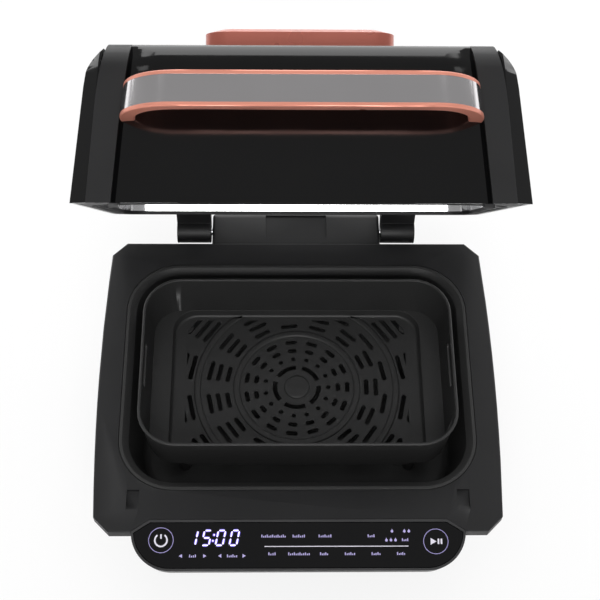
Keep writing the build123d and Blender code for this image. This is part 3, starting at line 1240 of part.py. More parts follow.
with BuildPart() as vent_housing:
    extrude(vent_outline(LID_HEIGHT, 0), amount=VENT_WALL_HEIGHT)
    loft([vent_outline(VENT_EDGE, 0), vent_outline(VENT_TOP, VENT_SHOULDER)])
    extrude(vent_outline(LID_HEIGHT, VENT_WALL), amount=VENT_WALL_HEIGHT - VENT_WALL, mode=Mode.SUBTRACT)
    with BuildSketch(Plane(LID.from_local_coords(Vector(0, POT_Y + VENT_DEPTH / 2, VENT_MIDDLE)),
                           x_dir=LID.x_dir, z_dir=LID.y_dir)):
        with GridLocations(LOUVRE_PITCH, 0, LOUVRES, 1):
            Rectangle(LOUVRE_WIDTH, VENT_WALL_HEIGHT - 4 * VENT_WALL)
    extrude(amount=-2 * VENT_WALL, mode=Mode.SUBTRACT)
vent_housing.part.label = "vent_housing"
export_step(vent_housing.part, "parts/vent_housing.step")

with BuildPart() as vent_plate:
    loft([vent_outline(VENT_TOP, VENT_SHOULDER),
          vent_outline(VENT_TOP + VENT_PLATE_HEIGHT, VENT_SHOULDER + VENT_PLATE_IN)])
vent_plate.part.label = "vent_plate"
export_step(vent_plate.part, "parts/vent_plate.step")


def handle_band(rise, outer_skin, inner_skin, foot):
    """The handle's bow from above, between two depths under its outer face, down to its feet."""
    level = Plane(FACE.origin + FACE_UP * rise, x_dir=-LID.x_dir, z_dir=FACE_UP)
    half = HANDLE_HALF - HANDLE_TAPER * (rise - HANDLE_LOW)
    with BuildSketch(level) as band:
        for skin, mode in ((outer_skin, Mode.ADD), (inner_skin, Mode.SUBTRACT)):
            RectangleRounded(2 * (half - skin), 2 * (HANDLE_OUT - skin), HANDLE_OUT - HANDLE_STEM - skin,
                             mode=mode)
        with Locations((0, foot)):
            Rectangle(3 * HANDLE_HALF, 3 * HANDLE_OUT, align=(Align.CENTER, Align.MAX), mode=Mode.SUBTRACT)
    return band.sketch


# Handle: a bow of constant section whose feet stand on the lid's front, with a groove for its metal face
HANDLE_TOP = HANDLE_LOW + HANDLE_TALL
INLAY_LOW = HANDLE_LOW + INLAY_MARGIN
INLAY_TOP = HANDLE_TOP - INLAY_MARGIN
with BuildPart() as handle_frame:
    loft([handle_band(rise, 0, HANDLE_THICK, -PANEL_FALL - LID_WALL) for rise in (HANDLE_LOW, HANDLE_TOP)])
    bow_edges = handle_frame.edges().filter_by(lambda e: FACE.to_local_coords(e.center()).Z > HANDLE_STEM)
    chamfer(bow_edges, length=HANDLE_EDGE)
    add(lid_form.part, mode=Mode.SUBTRACT)
    loft([handle_band(rise, -INLAY_THICK, INLAY_THICK, INLAY_FOOT) for rise in (INLAY_LOW, INLAY_TOP)],
         mode=Mode.SUBTRACT)
    with BuildSketch(FACE.offset(-HANDLE_PAD)):
        with Locations(*HANDLE_SCREWS):
            Circle(SCREW_RADIUS + SCREW_CLEAR)
    extrude(amount=HANDLE_SCREW_LENGTH + SCREW_CLEAR, mode=Mode.SUBTRACT)
handle_frame.part.label = "handle_frame"
export_step(handle_frame.part, "parts/handle_frame.step")

with BuildPart() as handle_inlay:
    loft([handle_band(rise, INLAY_SINK, INLAY_THICK, INLAY_FOOT) for rise in (INLAY_LOW, INLAY_TOP)])
handle_inlay.part.label = "handle_inlay"
export_step(handle_inlay.part, "parts/handle_inlay.step")

# Handle screws, put in from inside the lid
with BuildPart() as handle_screws:
    with BuildSketch(FACE.offset(-HANDLE_PAD)):
        with Locations(*HANDLE_SCREWS):
            Circle(SCREW_RADIUS)
    extrude(amount=HANDLE_SCREW_LENGTH)
    with BuildSketch(FACE.offset(-HANDLE_PAD)):
        with Locations(*HANDLE_SCREWS):
            RegularPolygon(SCREW_HEAD, 6)
    extrude(amount=-SCREW_HEAD_HIGH)
handle_screws.part.label = "handle_screws"
export_step(handle_screws.part, "parts/handle_screws.step")

# Hinge arms on the lid's rear wall, each ending in a round knuckle with a blind bore for its pin
KNUCKLE_Z = -RIM_RISE
ARM_CHORD = KNUCKLE_RADIUS * sin(radians(45))
with BuildPart() as hinge_arms:
    with BuildSketch(lid_side(ARM_IN)):
        Polygon((LID_REAR - REAR_FALL * FRAME_THICK / LID_HEIGHT, FRAME_THICK),
                (LID_REAR + ARM_GAP, FRAME_THICK),
                (HINGE_Y - ARM_CHORD, KNUCKLE_Z + ARM_CHORD), (HINGE_Y, KNUCKLE_Z),
                (HINGE_Y + ARM_CHORD, KNUCKLE_Z + ARM_CHORD), (LID_REAR + ARM_THICK, ARM_HEIGHT),
                (LID_REAR - REAR_FALL * ARM_HEIGHT / LID_HEIGHT, ARM_HEIGHT), align=None)
        with Locations((HINGE_Y, KNUCKLE_Z)):
            Circle(KNUCKLE_RADIUS)
    extrude(amount=ARM_WIDTH)
    with BuildSketch(lid_side(ARM_IN)):
        with Locations((HINGE_Y, KNUCKLE_Z)):
            Circle(PIN_RADIUS + PIN_CLEAR)
    extrude(amount=PIN_REACH, mode=Mode.SUBTRACT)
    mirror(about=Plane.YZ)
hinge_arms.part.label = "hinge_arms"
export_step(hinge_arms.part, "parts/hinge_arms.step")
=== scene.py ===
"""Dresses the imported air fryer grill: finishes, printed panel, trims, studio and camera."""
from __future__ import annotations

import json
import logging
import math
from dataclasses import dataclass, field
from enum import Enum

import bmesh
import bpy
from mathutils import Matrix, Vector


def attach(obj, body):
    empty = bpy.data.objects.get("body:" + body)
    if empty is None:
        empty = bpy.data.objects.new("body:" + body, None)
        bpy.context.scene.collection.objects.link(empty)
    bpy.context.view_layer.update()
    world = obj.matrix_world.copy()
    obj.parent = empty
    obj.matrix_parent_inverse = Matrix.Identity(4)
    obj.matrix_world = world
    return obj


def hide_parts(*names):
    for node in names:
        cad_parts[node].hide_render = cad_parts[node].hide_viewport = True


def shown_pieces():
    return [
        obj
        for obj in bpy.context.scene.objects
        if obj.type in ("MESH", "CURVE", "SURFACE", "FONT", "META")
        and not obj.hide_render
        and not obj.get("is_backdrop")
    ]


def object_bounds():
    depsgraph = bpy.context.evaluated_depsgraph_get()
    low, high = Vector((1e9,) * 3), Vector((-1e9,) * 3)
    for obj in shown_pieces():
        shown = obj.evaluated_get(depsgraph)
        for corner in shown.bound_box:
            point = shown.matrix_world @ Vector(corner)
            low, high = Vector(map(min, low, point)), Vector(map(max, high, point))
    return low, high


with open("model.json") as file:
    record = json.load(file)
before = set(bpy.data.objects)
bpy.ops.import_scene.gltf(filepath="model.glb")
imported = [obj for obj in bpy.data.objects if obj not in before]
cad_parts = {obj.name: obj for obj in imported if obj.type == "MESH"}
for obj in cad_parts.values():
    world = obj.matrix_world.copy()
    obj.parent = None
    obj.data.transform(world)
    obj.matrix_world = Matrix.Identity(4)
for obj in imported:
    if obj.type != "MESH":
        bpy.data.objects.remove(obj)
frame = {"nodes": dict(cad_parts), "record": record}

CAD_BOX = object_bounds()
MM = 0.001
log = logging.getLogger("grill")


# Finishes

@dataclass(frozen=True)
class TextureGroup:
    """A shader node group with a fine grain for the bump and a slow cloud for tone and roughness."""

    name: str
    stretch: float
    detail: float
    roughness: float
    cloud_detail: float
    cloud_roughness: float = 0.5

    def tree(self) -> bpy.types.NodeTree:
        """Builds the group, once.

        Returns:
            The group: Vector, Size and Cloud Size go in, and Height and Cloud come out.
        """
        made = bpy.data.node_groups.get(self.name)
        if made:
            return made
        group = bpy.data.node_groups.new(self.name, "ShaderNodeTree")
        group.interface.new_socket("Vector", in_out="INPUT", socket_type="NodeSocketVector")
        for way, keys in (("INPUT", ("Size", "Cloud Size")), ("OUTPUT", ("Height", "Cloud"))):
            for key in keys:
                group.interface.new_socket(key, in_out=way, socket_type="NodeSocketFloat")
        taken = group.nodes.new("NodeGroupInput")
        given = group.nodes.new("NodeGroupOutput")
        drawn = group.nodes.new("ShaderNodeMapping")
        drawn.inputs["Scale"].default_value = (self.stretch, 1.0, 1.0)
        group.links.new(taken.outputs["Vector"], drawn.inputs["Vector"])
        grain = self._noise(group, drawn.outputs["Vector"], self.detail, self.roughness)
        group.links.new(taken.outputs["Size"], grain.inputs["Scale"])
        group.links.new(grain.outputs["Fac"], given.inputs["Height"])
        cloud = self._noise(group, taken.outputs["Vector"], self.cloud_detail, self.cloud_roughness)
        group.links.new(taken.outputs["Cloud Size"], cloud.inputs["Scale"])
        group.links.new(cloud.outputs["Fac"], given.inputs["Cloud"])
        return group

    def _noise(self, group: bpy.types.NodeTree, vector: bpy.types.NodeSocket, detail: float,
               roughness: float) -> bpy.types.Node:
        """Adds a noise texture to the group.

        Args:
            group: The group.
            vector: The coordinates that the noise reads.
            detail: Its octaves.
            roughness: How strong its fine octaves are.

        Returns:
            The noise node.
        """
        node = group.nodes.new("ShaderNodeTexNoise")
        node.inputs["Detail"].default_value = detail
        node.inputs["Roughness"].default_value = roughness
        group.links.new(vector, node.inputs["Vector"])
        return node


class Texture(Enum):
    """The textures of a finish: the pebbles of moulded or sprayed surfaces, or hairlines along X."""

    GRAIN = TextureGroup("moulded_grain", 1.0, 2.0, 0.6, 3.0)
    BRUSHED = TextureGroup("brushed_lines", 0.012, 4.0, 0.7, 2.0)


@dataclass(frozen=True)
class Finish:
    """One surface finish: a Principled BSDF over a shared texture group, with its depth in metres."""

    name: str
    color: tuple[float, float, float]
    roughness: float
    metallic: float = 0.0
    texture: Texture = Texture.GRAIN
    size: float = 1800.0
    cloud_size: float = 14.0
    depth: float = 0.00003
    bump: float = 0.25
    tone: float = 0.12
    rough_spread: float = 0.08
    coat: float = 0.0
    coat_roughness: float = 0.05
    specular: float = 0.5
    glow: float = 0.0
    cloud_range: tuple[float, float] = (0.3, 0.7)
    least_roughness: float = 0.02

    def material(self) -> bpy.types.Material:
        """Builds the material, once.

        Returns:
            The material of this finish.
        """
        made = bpy.data.materials.get(self.name)
        if made:
            return made
        mat = bpy.data.materials.new(self.name)
        mat.use_nodes = True
        tree = mat.node_tree
        shader = tree.nodes["Principled BSDF"]
        shader.inputs["Metallic"].default_value = self.metallic
        shader.inputs["Coat Weight"].default_value = self.coat
        shader.inputs["Coat Roughness"].default_value = self.coat_roughness
        shader.inputs["Specular IOR Level"].default_value = self.specular
        coords = tree.nodes.new("ShaderNodeTexCoord")
        group = tree.nodes.new("ShaderNodeGroup")
        group.node_tree = self.texture.value.tree()
        group.inputs["Size"].default_value = self.size
        group.inputs["Cloud Size"].default_value = self.cloud_size
        tree.links.new(coords.outputs["Object"], group.inputs["Vector"])
        self._tone(tree, group, shader)
        self._roughness(tree, group, shader)
        bump = tree.nodes.new("ShaderNodeBump")
        bump.inputs["Distance"].default_value = self.depth
        bump.inputs["Strength"].default_value = self.bump
        tree.links.new(group.outputs["Height"], bump.inputs["Height"])
        tree.links.new(bump.outputs["Normal"], shader.inputs["Normal"])
        if self.glow:
            shader.inputs["Emission Color"].default_value = (*self.color, 1.0)
            shader.inputs["Emission Strength"].default_value = self.glow
        return mat

    def _tone(self, tree: bpy.types.NodeTree, group: bpy.types.Node, shader: bpy.types.Node) -> None:
        """Lets the colour drift a little over the surface.

        Args:
            tree: The material's tree.
            group: Its texture group.
            shader: Its shader.
        """
        mix = tree.nodes.new("ShaderNodeMix")
        mix.data_type = "RGBA"
        mix.inputs["A"].default_value = (*[c * (1 - self.tone) for c in self.color], 1.0)
        mix.inputs["B"].default_value = (*[min(1.0, c * (1 + self.tone)) for c in self.color], 1.0)
        tree.links.new(group.outputs["Cloud"], mix.inputs["Factor"])
        tree.links.new(mix.outputs["Result"], shader.inputs["Base Color"])

    def _roughness(self, tree: bpy.types.NodeTree, group: bpy.types.Node, shader: bpy.types.Node) -> None:
        """Lets the roughness drift a little over the surface.

        Args:
            tree: The material's tree.
            group: Its texture group.
            shader: Its shader.
        """
        spread = tree.nodes.new("ShaderNodeMapRange")
        spread.inputs["From Min"].default_value = self.cloud_range[0]
        spread.inputs["From Max"].default_value = self.cloud_range[1]
        least = max(self.least_roughness, self.roughness - self.rough_spread)
        spread.inputs["To Min"].default_value = least
        spread.inputs["To Max"].default_value = min(1.0, self.roughness + self.rough_spread)
        tree.links.new(group.outputs["Cloud"], spread.inputs["Value"])
        tree.links.new(spread.outputs["Result"], shader.inputs["Roughness"])


MATTE_BLACK = Finish("matte_black_plastic", (0.0105, 0.0105, 0.0112), 0.5, specular=0.42)
GLOSS_BLACK = Finish("polished_black_plastic", (0.0025, 0.0025, 0.0027), 0.1, bump=0.02, rough_spread=0.03,
                     specular=0.42)
BLACK_GLASS = Finish("black_panel_glass", (0.002, 0.002, 0.0024), 0.07, bump=0.01, rough_spread=0.02,
                     specular=0.4)
ROSE_GOLD = Finish("rose_gold_lacquer", (0.8, 0.31, 0.225), 0.34, metallic=0.4, depth=0.00002, tone=0.05)
# A darker copy of the rose lacquer for the vent housing: its darker colour is painted shade, because the
# vent's front wall falls darker than the handle.
SHADED_ROSE = Finish("rose_lacquer_painted_shade", (0.56, 0.165, 0.12), 0.3, metallic=0.4, depth=0.00002, tone=0.05)
BRUSHED = Finish("brushed_face_steel", (0.78, 0.76, 0.77), 0.12, 1.0, Texture.BRUSHED, size=1400.0,
                 depth=0.000006, tone=0.05, rough_spread=0.04)
LINER = Finish("liner_sheet_steel", (0.85, 0.85, 0.86), 0.14, 1.0, size=500.0, depth=0.00001, tone=0.05)
NONSTICK = Finish("nonstick_coat", (0.0075, 0.0075, 0.008), 0.22, size=2600.0, depth=0.00001, tone=0.15)
RUBBER = Finish("dark_rubber", (0.02, 0.02, 0.02), 0.75, size=1200.0)
BOARD = Finish("lacquered_board", (0.02, 0.13, 0.05), 0.35)
CLOCK = Finish("clock_module", (0.02, 0.015, 0.03), 0.3)
SHEATH = Finish("heater_sheath", (0.12, 0.115, 0.11), 0.4, 1.0)
CERAMIC = Finish("white_ceramic", (0.8, 0.77, 0.7), 0.6)
ZINC = Finish("zinc_plated_steel", (0.62, 0.62, 0.64), 0.3, 1.0)
MOTOR = Finish("grey_motor_can", (0.18, 0.18, 0.19), 0.45, 0.6)
ALUMINIUM = Finish("plain_aluminium", (0.65, 0.65, 0.66), 0.35, 1.0)
LIT_DIGIT = Finish("lit_digit", (0.68, 0.62, 1.0), 0.4, glow=1.05, tone=0.06)
LIT_RING = Finish("lit_ring", (0.25, 0.22, 0.44), 0.4, glow=0.4, tone=0.06)
PRINT = Finish("panel_print", (0.62, 0.6, 0.68), 0.5, glow=0.22, tone=0.08)
DIM_PRINT = Finish("dim_panel_print", (0.36, 0.32, 0.58), 0.5, glow=0.3, tone=0.08)
HALO = Finish("digit_halo", (0.1, 0.07, 0.46), 0.4, glow=0.95, tone=0.06)
TRIM = Finish("satin_trim_plastic", (0.02, 0.02, 0.021), 0.36, specular=0.6)


# Helpers that the pieces share

def add_object(name: str, data: bpy.types.ID) -> bpy.types.Object:
    """Makes an object and links it to the scene.

    Args:
        name: The object's name.
        data: Its mesh, lamp or camera.

    Returns:
        The new object.
    """
    made = bpy.data.objects.new(name, data)
    bpy.context.scene.collection.objects.link(made)
    return made


def body_of(node: str) -> str:
    """Finds the moving body that a CAD node belongs to.

    Args:
        node: The node's name.

    Returns:
        The body's name.
    """
    bodies = frame["record"]["behaviour"]["bodies"]
    return next(body for body, nodes in bodies.items() if node in nodes)


def new_piece(name: str, bm: bmesh.types.BMesh, finish: Finish, body: str) -> bpy.types.Object:
    """Makes an object of a finished bmesh and lets it ride on a body.

    Args:
        name: The piece's name.
        bm: Its mesh in the row frame; it is freed here.
        finish: Its finish.
        body: The body it rides on.

    Returns:
        The new object.
    """
    bmesh.ops.recalc_face_normals(bm, faces=bm.faces)
    mesh = bpy.data.meshes.new(name)
    bm.to_mesh(mesh)
    bm.free()
    mesh.materials.append(finish.material())
    piece = add_object(name, mesh)
    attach(piece, body)
    return piece


@dataclass(frozen=True)
class LidReform:
    """The open lid's own axes, in which its covers are drawn to shape: y rearward, z off the rim, in mm."""

    origin: tuple[float, float, float] = (0.0, 99.97, 275.35)
    swing: float = 58.0
    front_fall: float = 20.0
    rear_fall: float = 8.0
    height: float = 133.0

    def place(self) -> Matrix:
        """Builds the matrix from the lid's millimetres to the row frame.

        Returns:
            The matrix.
        """
        turn = Matrix.Rotation(-math.radians(self.swing), 4, "X")
        return Matrix.Scale(MM, 4) @ Matrix.Translation(self.origin) @ turn

    def cut(self, bm: bmesh.types.BMesh, height: float) -> None:
        """Cuts the faces that cross a height of the lid, so that there are points to move.

        Args:
            bm: The cover's mesh in the row frame.
            height: The height.
        """
        place = self.place()
        bmesh.ops.bisect_plane(bm, geom=[*bm.verts, *bm.edges, *bm.faces],
                               plane_co=place @ Vector((0.0, 0.0, height)),
                               plane_no=(place.to_3x3() @ Vector((0.0, 0.0, 1.0))).normalized())


@dataclass(frozen=True)
class Shoulder(LidReform):
    """How a lid cheek's flat top is drawn into a slope from the rail down to the side."""

    start: float = 96.0
    top: float = 121.0
    slope_sum: float = 290.0

    def shape(self, bm: bmesh.types.BMesh) -> None:
        """Moves the cheek's upper points, along the fall of its front and rear.

        Args:
            bm: The cheek's mesh in the row frame.
        """
        self.cut(bm, self.start)
        place = self.place()
        back = place.inverted()
        for vert in bm.verts:
            spot = back @ vert.co
            share = min(1.0, max(0.0, (spot.z - self.start) / (self.top - self.start)))
            rise = share * (self.slope_sum - abs(spot.x) - self.top)
            fall = self.front_fall if spot.y < 0.0 else -self.rear_fall
            vert.co = place @ (spot + Vector((0.0, rise * fall / self.height, rise)))


@dataclass(frozen=True)
class BroadBrow(LidReform):
    """How the rounding between the lid's front and its top is drawn to a larger radius."""

    front: float = -145.0
    drawn: float = 13.0
    radius: float = 24.0
    steps: int = 9
    margin: float = 2.0

    def _set_back(self, z: float, radius: float) -> float:
        """How far a rounding of a radius stands back from the front at a height."""
        reach = min(radius, max(0.0, z - (self.height - radius)))
        return radius - math.sqrt(radius * radius - reach * reach)

    def shape(self, bm: bmesh.types.BMesh) -> None:
        """Moves the points near the front's upper edge.

        Args:
            bm: The cover's mesh in the row frame.
        """
        start = self.height - self.radius
        self.cut(bm, start - self.margin)
        for step in range(self.steps):
            self.cut(bm, start + self.radius * math.sin(math.radians(90.0 * step / self.steps)))
        place = self.place()
        back = place.inverted()
        for vert in bm.verts:
            spot = back @ vert.co
            depth = spot.y - (self.front + self.front_fall * spot.z / self.height)
            if depth < self.radius:
                spot.y += self._set_back(spot.z, self.radius) - self._set_back(spot.z, self.drawn)
                vert.co = place @ spot


@dataclass(frozen=True)
class Widening:
    """How the pair of hinge arms is widened towards the tower between them, in mm from the middle."""

    inner: float = 92.5
    outer: float = 126.5
    to_inner: float = 89.7
    to_outer: float = 125.3

    def shape(self, bm: bmesh.types.BMesh) -> None:
        """Moves the points of both arms.

        Args:
            bm: The arms' mesh in the row frame.
        """
        for vert in bm.verts:
            share = (abs(vert.co.x) / MM - self.inner) / (self.outer - self.inner)
            across = self.to_inner + share * (self.to_outer - self.to_inner)
            vert.co.x = math.copysign(across * MM, vert.co.x)


@dataclass(frozen=True)
class Softening:
    """How the edges are rounded on the piece that stands for a CAD node."""

    width_mm: float
    segments: int = 2
    sharp_angle: float = 32.0
    flat_angle: float = 1.0
    merge_mm: float = 0.01
    reforms: tuple[Shoulder | BroadBrow | Widening, ...] = ()

    def apply(self, node: str, finish: Finish) -> bpy.types.Object:
        """Makes a merged copy of a node with rounded edges.

        Args:
            node: The CAD node that the copy stands for.
            finish: The copy's finish.

        Returns:
            The new piece.
        """
        bm = bmesh.new()
        bm.from_mesh(frame["nodes"][node].data)
        bmesh.ops.remove_doubles(bm, verts=bm.verts, dist=self.merge_mm * MM)
        bmesh.ops.dissolve_limit(bm, verts=bm.verts, edges=bm.edges,
                                 angle_limit=math.radians(self.flat_angle))
        for reform in self.reforms:
            reform.shape(bm)
        return self.stand_in(f"{node}_soft", bm, node, finish)

    def stand_in(self, name: str, bm: bmesh.types.BMesh, node: str, finish: Finish) -> bpy.types.Object:
        """Makes the smooth piece that stands for a node.

        Args:
            name: The piece's name.
            bm: Its mesh in the row frame; it is freed here.
            node: The CAD node that it stands for.
            finish: Its finish.

        Returns:
            The new piece.
        """
        for face in bm.faces:
            face.smooth = True
        piece = new_piece(name, bm, finish, body_of(node))
        piece.data.set_sharp_from_angle(angle=math.radians(self.sharp_angle))
        if self.width_mm:
            bevel = piece.modifiers.new("rounded_edges", "BEVEL")
            bevel.width = self.width_mm * MM
            bevel.segments = self.segments
            bevel.limit_method = "ANGLE"
            bevel.angle_limit = math.radians(self.sharp_angle)
            bevel.use_clamp_overlap = True
            bevel.harden_normals = True
        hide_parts(node)
        return piece


FINE = Softening(0.4)
EDGE = Softening(0.8, 3)
BROAD = Softening(1.3, 3)
SMOOTH = Softening(0.0)
PRESSED = Softening(0.45, sharp_angle=50.0)
CHEEK = Softening(0.8, 3, reforms=(Shoulder(), BroadBrow()))
BROW = Softening(0.4, reforms=(BroadBrow(),))
ARMS = Softening(0.8, 3, reforms=(Widening(),))


# Sub-assemblies

@dataclass
class SubAssembly:
    """One sub-assembly: its nodes with their finishes and the nodes whose edges are rounded."""

    title: str
    finishes: dict[str, Finish]
    softened: dict[str, Softening] = field(default_factory=dict)

    def dress(self) -> None:
        """Gives every CAD node of the sub-assembly its finish."""
        for name, finish in self.finishes.items():
            node = frame["nodes"][name]
            node.data.materials.clear()
            node.data.materials.append(finish.material())

    def build(self) -> list[bpy.types.Object]:
        """Makes the pieces that stand for CAD nodes or add to them.

        Returns:
            The new pieces.
        """
        return [soft.apply(node, self.finishes[node]) for node, soft in self.softened.items()]


@dataclass
class BaseUnit(SubAssembly):
    """The base with its floor, feet, heat shield and electronics."""

    title: str = "base_unit"
    finishes: dict[str, Finish] = field(default_factory=lambda: {
        "base_housing": MATTE_BLACK, "base_screws": ZINC, "cord_gland": RUBBER, "floor_plate": MATTE_BLACK,
        "heat_shield": LINER, "power_board": BOARD, "rubber_feet": RUBBER, "deck_cover": MATTE_BLACK,
        "cavity_liner": LINER,
    })
    softened: dict[str, Softening] = field(default_factory=lambda: {
        "base_housing": EDGE, "deck_cover": FINE, "cord_gland": FINE, "rubber_feet": FINE,
    })


@dataclass(frozen=True)
class Level:
    """One level line of a drawn sheet piece: a rounded rectangle, in mm, with the bend that it gets."""

    z: float
    width: float
    depth: float
    radius: float
    bend: float = 0.0

    def add(self, bm: bmesh.types.BMesh, middle: float, steps: int = 9) -> list[bmesh.types.BMEdge]:
        """Adds the line to a mesh.

        Args:
            bm: The mesh, in mm.
            middle: The line's middle in Y.
            steps: How many points each corner has.

        Returns:
            The line's edges.
        """
        made = bmesh.ops.create_circle(bm, cap_ends=False, radius=1.0, segments=4 * steps)["verts"]
        made.sort(key=lambda vert: math.atan2(vert.co.y, vert.co.x) % math.tau)
        for place, vert in enumerate(made):
            corner, step = divmod(place, steps)
            turn = math.radians(90.0 * (corner + step / (steps - 1)))
            across, along = ((1, 1), (-1, 1), (-1, -1), (1, -1))[corner]
            x = across * (self.width / 2 - self.radius) + self.radius * math.cos(turn)
            y = along * (self.depth / 2 - self.radius) + self.radius * math.sin(turn)
            vert.co = (x, middle + y, self.z)
        return list({edge for vert in made for edge in vert.link_edges})

    def outside(self, wall: float) -> Level:
        """The line on the sheet's other face, out and down by the sheet's thickness."""
        return Level(self.z - wall, self.width + 2 * wall, self.depth + 2 * wall, self.radius + wall,
                     self.bend)


@dataclass
class FlatShapes:
    """Collects flat shapes round a middle point, which one raise turns into closed blocks, in mm."""

    z: float
    middle: float
    rim_angle: float = 30.0
    merge: float = 0.001
    bm: bmesh.types.BMesh = field(default_factory=bmesh.new)

    def _turned(self, ring: float, turn: float) -> Matrix:
        """The place on a ring at an angle in degrees, with x pointing outward."""
        return Matrix.Rotation(math.radians(turn), 4, "Z") @ Matrix.Translation((ring, 0.0, 0.0))

    def slot(self, ring: float, turn: float, width: float, length: float, corner: float) -> None:
        """Adds a slot across a spoke.

        Args:
            ring: Its distance from the middle.
            turn: The spoke's angle in degrees.
            width: Its width along the spoke.
            length: Its length across the spoke.
            corner: How far its corners are cut.
        """
        half_side = Matrix.Rotation(math.radians(22.5), 4, "Z")
        made = bmesh.ops.create_circle(self.bm, cap_ends=True, radius=1.0, segments=8,
                                       matrix=half_side)["verts"]
        for vert in made:
            on_side = abs(vert.co.x) > abs(vert.co.y)
            vert.co.x = math.copysign(width / 2 - (0.0 if on_side else corner), vert.co.x)
            vert.co.y = math.copysign(length / 2 - (corner if on_side else 0.0), vert.co.y)
        bmesh.ops.transform(self.bm, matrix=self._turned(ring, turn), verts=made)

    def disc(self, ring: float, turn: float, radius: float, sides: int = 12) -> None:
        """Adds a disc at a ring's place."""
        bmesh.ops.create_circle(self.bm, cap_ends=True, radius=radius, segments=sides,
                                matrix=self._turned(ring, turn))

    def band(self, ring: float, width: float, start: float, sweep: float, steps: int) -> None:
        """Adds a band along a ring.

        Args:
            ring: Its middle's distance from the middle point.
            width: Its width.
            start: The angle it starts at, in degrees.
            sweep: The angle it covers, in degrees.
            steps: How many straight pieces it has.
        """
        made = bmesh.ops.create_grid(self.bm, x_segments=1, y_segments=1, size=0.5)["verts"]
        face = made[0].link_faces[0]
        step = math.radians(sweep / steps)
        for vert in made:
            reach = ring + vert.co.x * width
            turn = math.radians(start) + (vert.co.y + 0.5) * step
            vert.co = (reach * math.cos(turn), reach * math.sin(turn), 0.0)
        for place in range(1, steps):
            copy = bmesh.ops.duplicate(self.bm, geom=[face])["geom"]
            verts = [item for item in copy if isinstance(item, bmesh.types.BMVert)]
            bmesh.ops.rotate(self.bm, verts=verts, matrix=Matrix.Rotation(step * place, 3, "Z"))
        bmesh.ops.remove_doubles(self.bm, verts=self.bm.verts, dist=self.merge)

    def trim(self, half_x: float, half_y: float, corner: float) -> None:
        """Cuts the shapes off outside a rectangle with cut corners.

        Args:
            half_x: Half its width.
            half_y: Half its depth.
            corner: How far its corners are cut.
        """
        for across, along in ((1, 0), (-1, 0), (0, 1), (0, -1), (1, 1), (1, -1), (-1, 1), (-1, -1)):
            inward = corner if across and along else 0.0
            bmesh.ops.bisect_plane(self.bm, geom=[*self.bm.verts, *self.bm.edges, *self.bm.faces],
                                   plane_co=(across * (half_x - inward), along * half_y, 0.0),
                                   plane_no=(across, along, 0.0), clear_outer=True)

    def raise_to(self, high: float, smallest: float = 2.0, rounded: float = 0.0) -> bmesh.types.BMesh:
        """Makes closed blocks of the shapes.

        Args:
            high: Their height.
            smallest: The area under which a trimmed shape is left out.
            rounded: How much of their upper edges is rounded.

        Returns:
            The mesh, at its place.
        """
        scraps = [face for face in self.bm.faces if face.calc_area() < smallest]
        bmesh.ops.delete(self.bm, geom=scraps, context="FACES")
        grown = bmesh.ops.extrude_face_region(self.bm, geom=list(self.bm.faces))["geom"]
        verts = [item for item in grown if isinstance(item, bmesh.types.BMVert)]
        bmesh.ops.translate(self.bm, verts=verts, vec=(0.0, 0.0, high))
        bmesh.ops.recalc_face_normals(self.bm, faces=self.bm.faces)
        if rounded:
            rims = [edge for edge in self.bm.edges if min(vert.co.z for vert in edge.verts) > high / 2
                    and edge.calc_face_angle(0.0) > math.radians(self.rim_angle)]
            bmesh.ops.bevel(self.bm, geom=rims, offset=rounded, segments=3, profile=0.5, affect="EDGES")
        bmesh.ops.translate(self.bm, verts=self.bm.verts, vec=(0.0, self.middle, self.z))
        return self.bm


class Joining(Enum):
    """What a tool does to the mesh that it meets."""

    ADD = "UNION"
    CUT = "DIFFERENCE"


def joined(base: bmesh.types.BMesh, tools: list[tuple[Joining, bmesh.types.BMesh]]) -> bmesh.types.BMesh:
    """Joins meshes to a base or cuts them out of it.

    Args:
        base: The base mesh in mm; it is freed here.
        tools: Each tool in mm with what it does; they are freed here.

    Returns:
        The new mesh in the row frame.
    """
    objects = []
    for bm in (base, *(tool for _, tool in tools)):
        mesh = bpy.data.meshes.new("work")
        bmesh.ops.scale(bm, vec=(MM, MM, MM), verts=bm.verts)
        bm.to_mesh(mesh)
        bm.free()
        objects.append(add_object("work", mesh))
    for (joining, _), tool in zip(tools, objects[1:]):
        step = objects[0].modifiers.new("step", "BOOLEAN")
        step.operation = joining.value
        step.solver = "EXACT"
        step.object = tool
    result = bmesh.new()
    result.from_object(objects[0], bpy.context.evaluated_depsgraph_get())
    for work in objects:
        mesh = work.data
        bpy.data.objects.remove(work)
        bpy.data.meshes.remove(mesh)
    return result


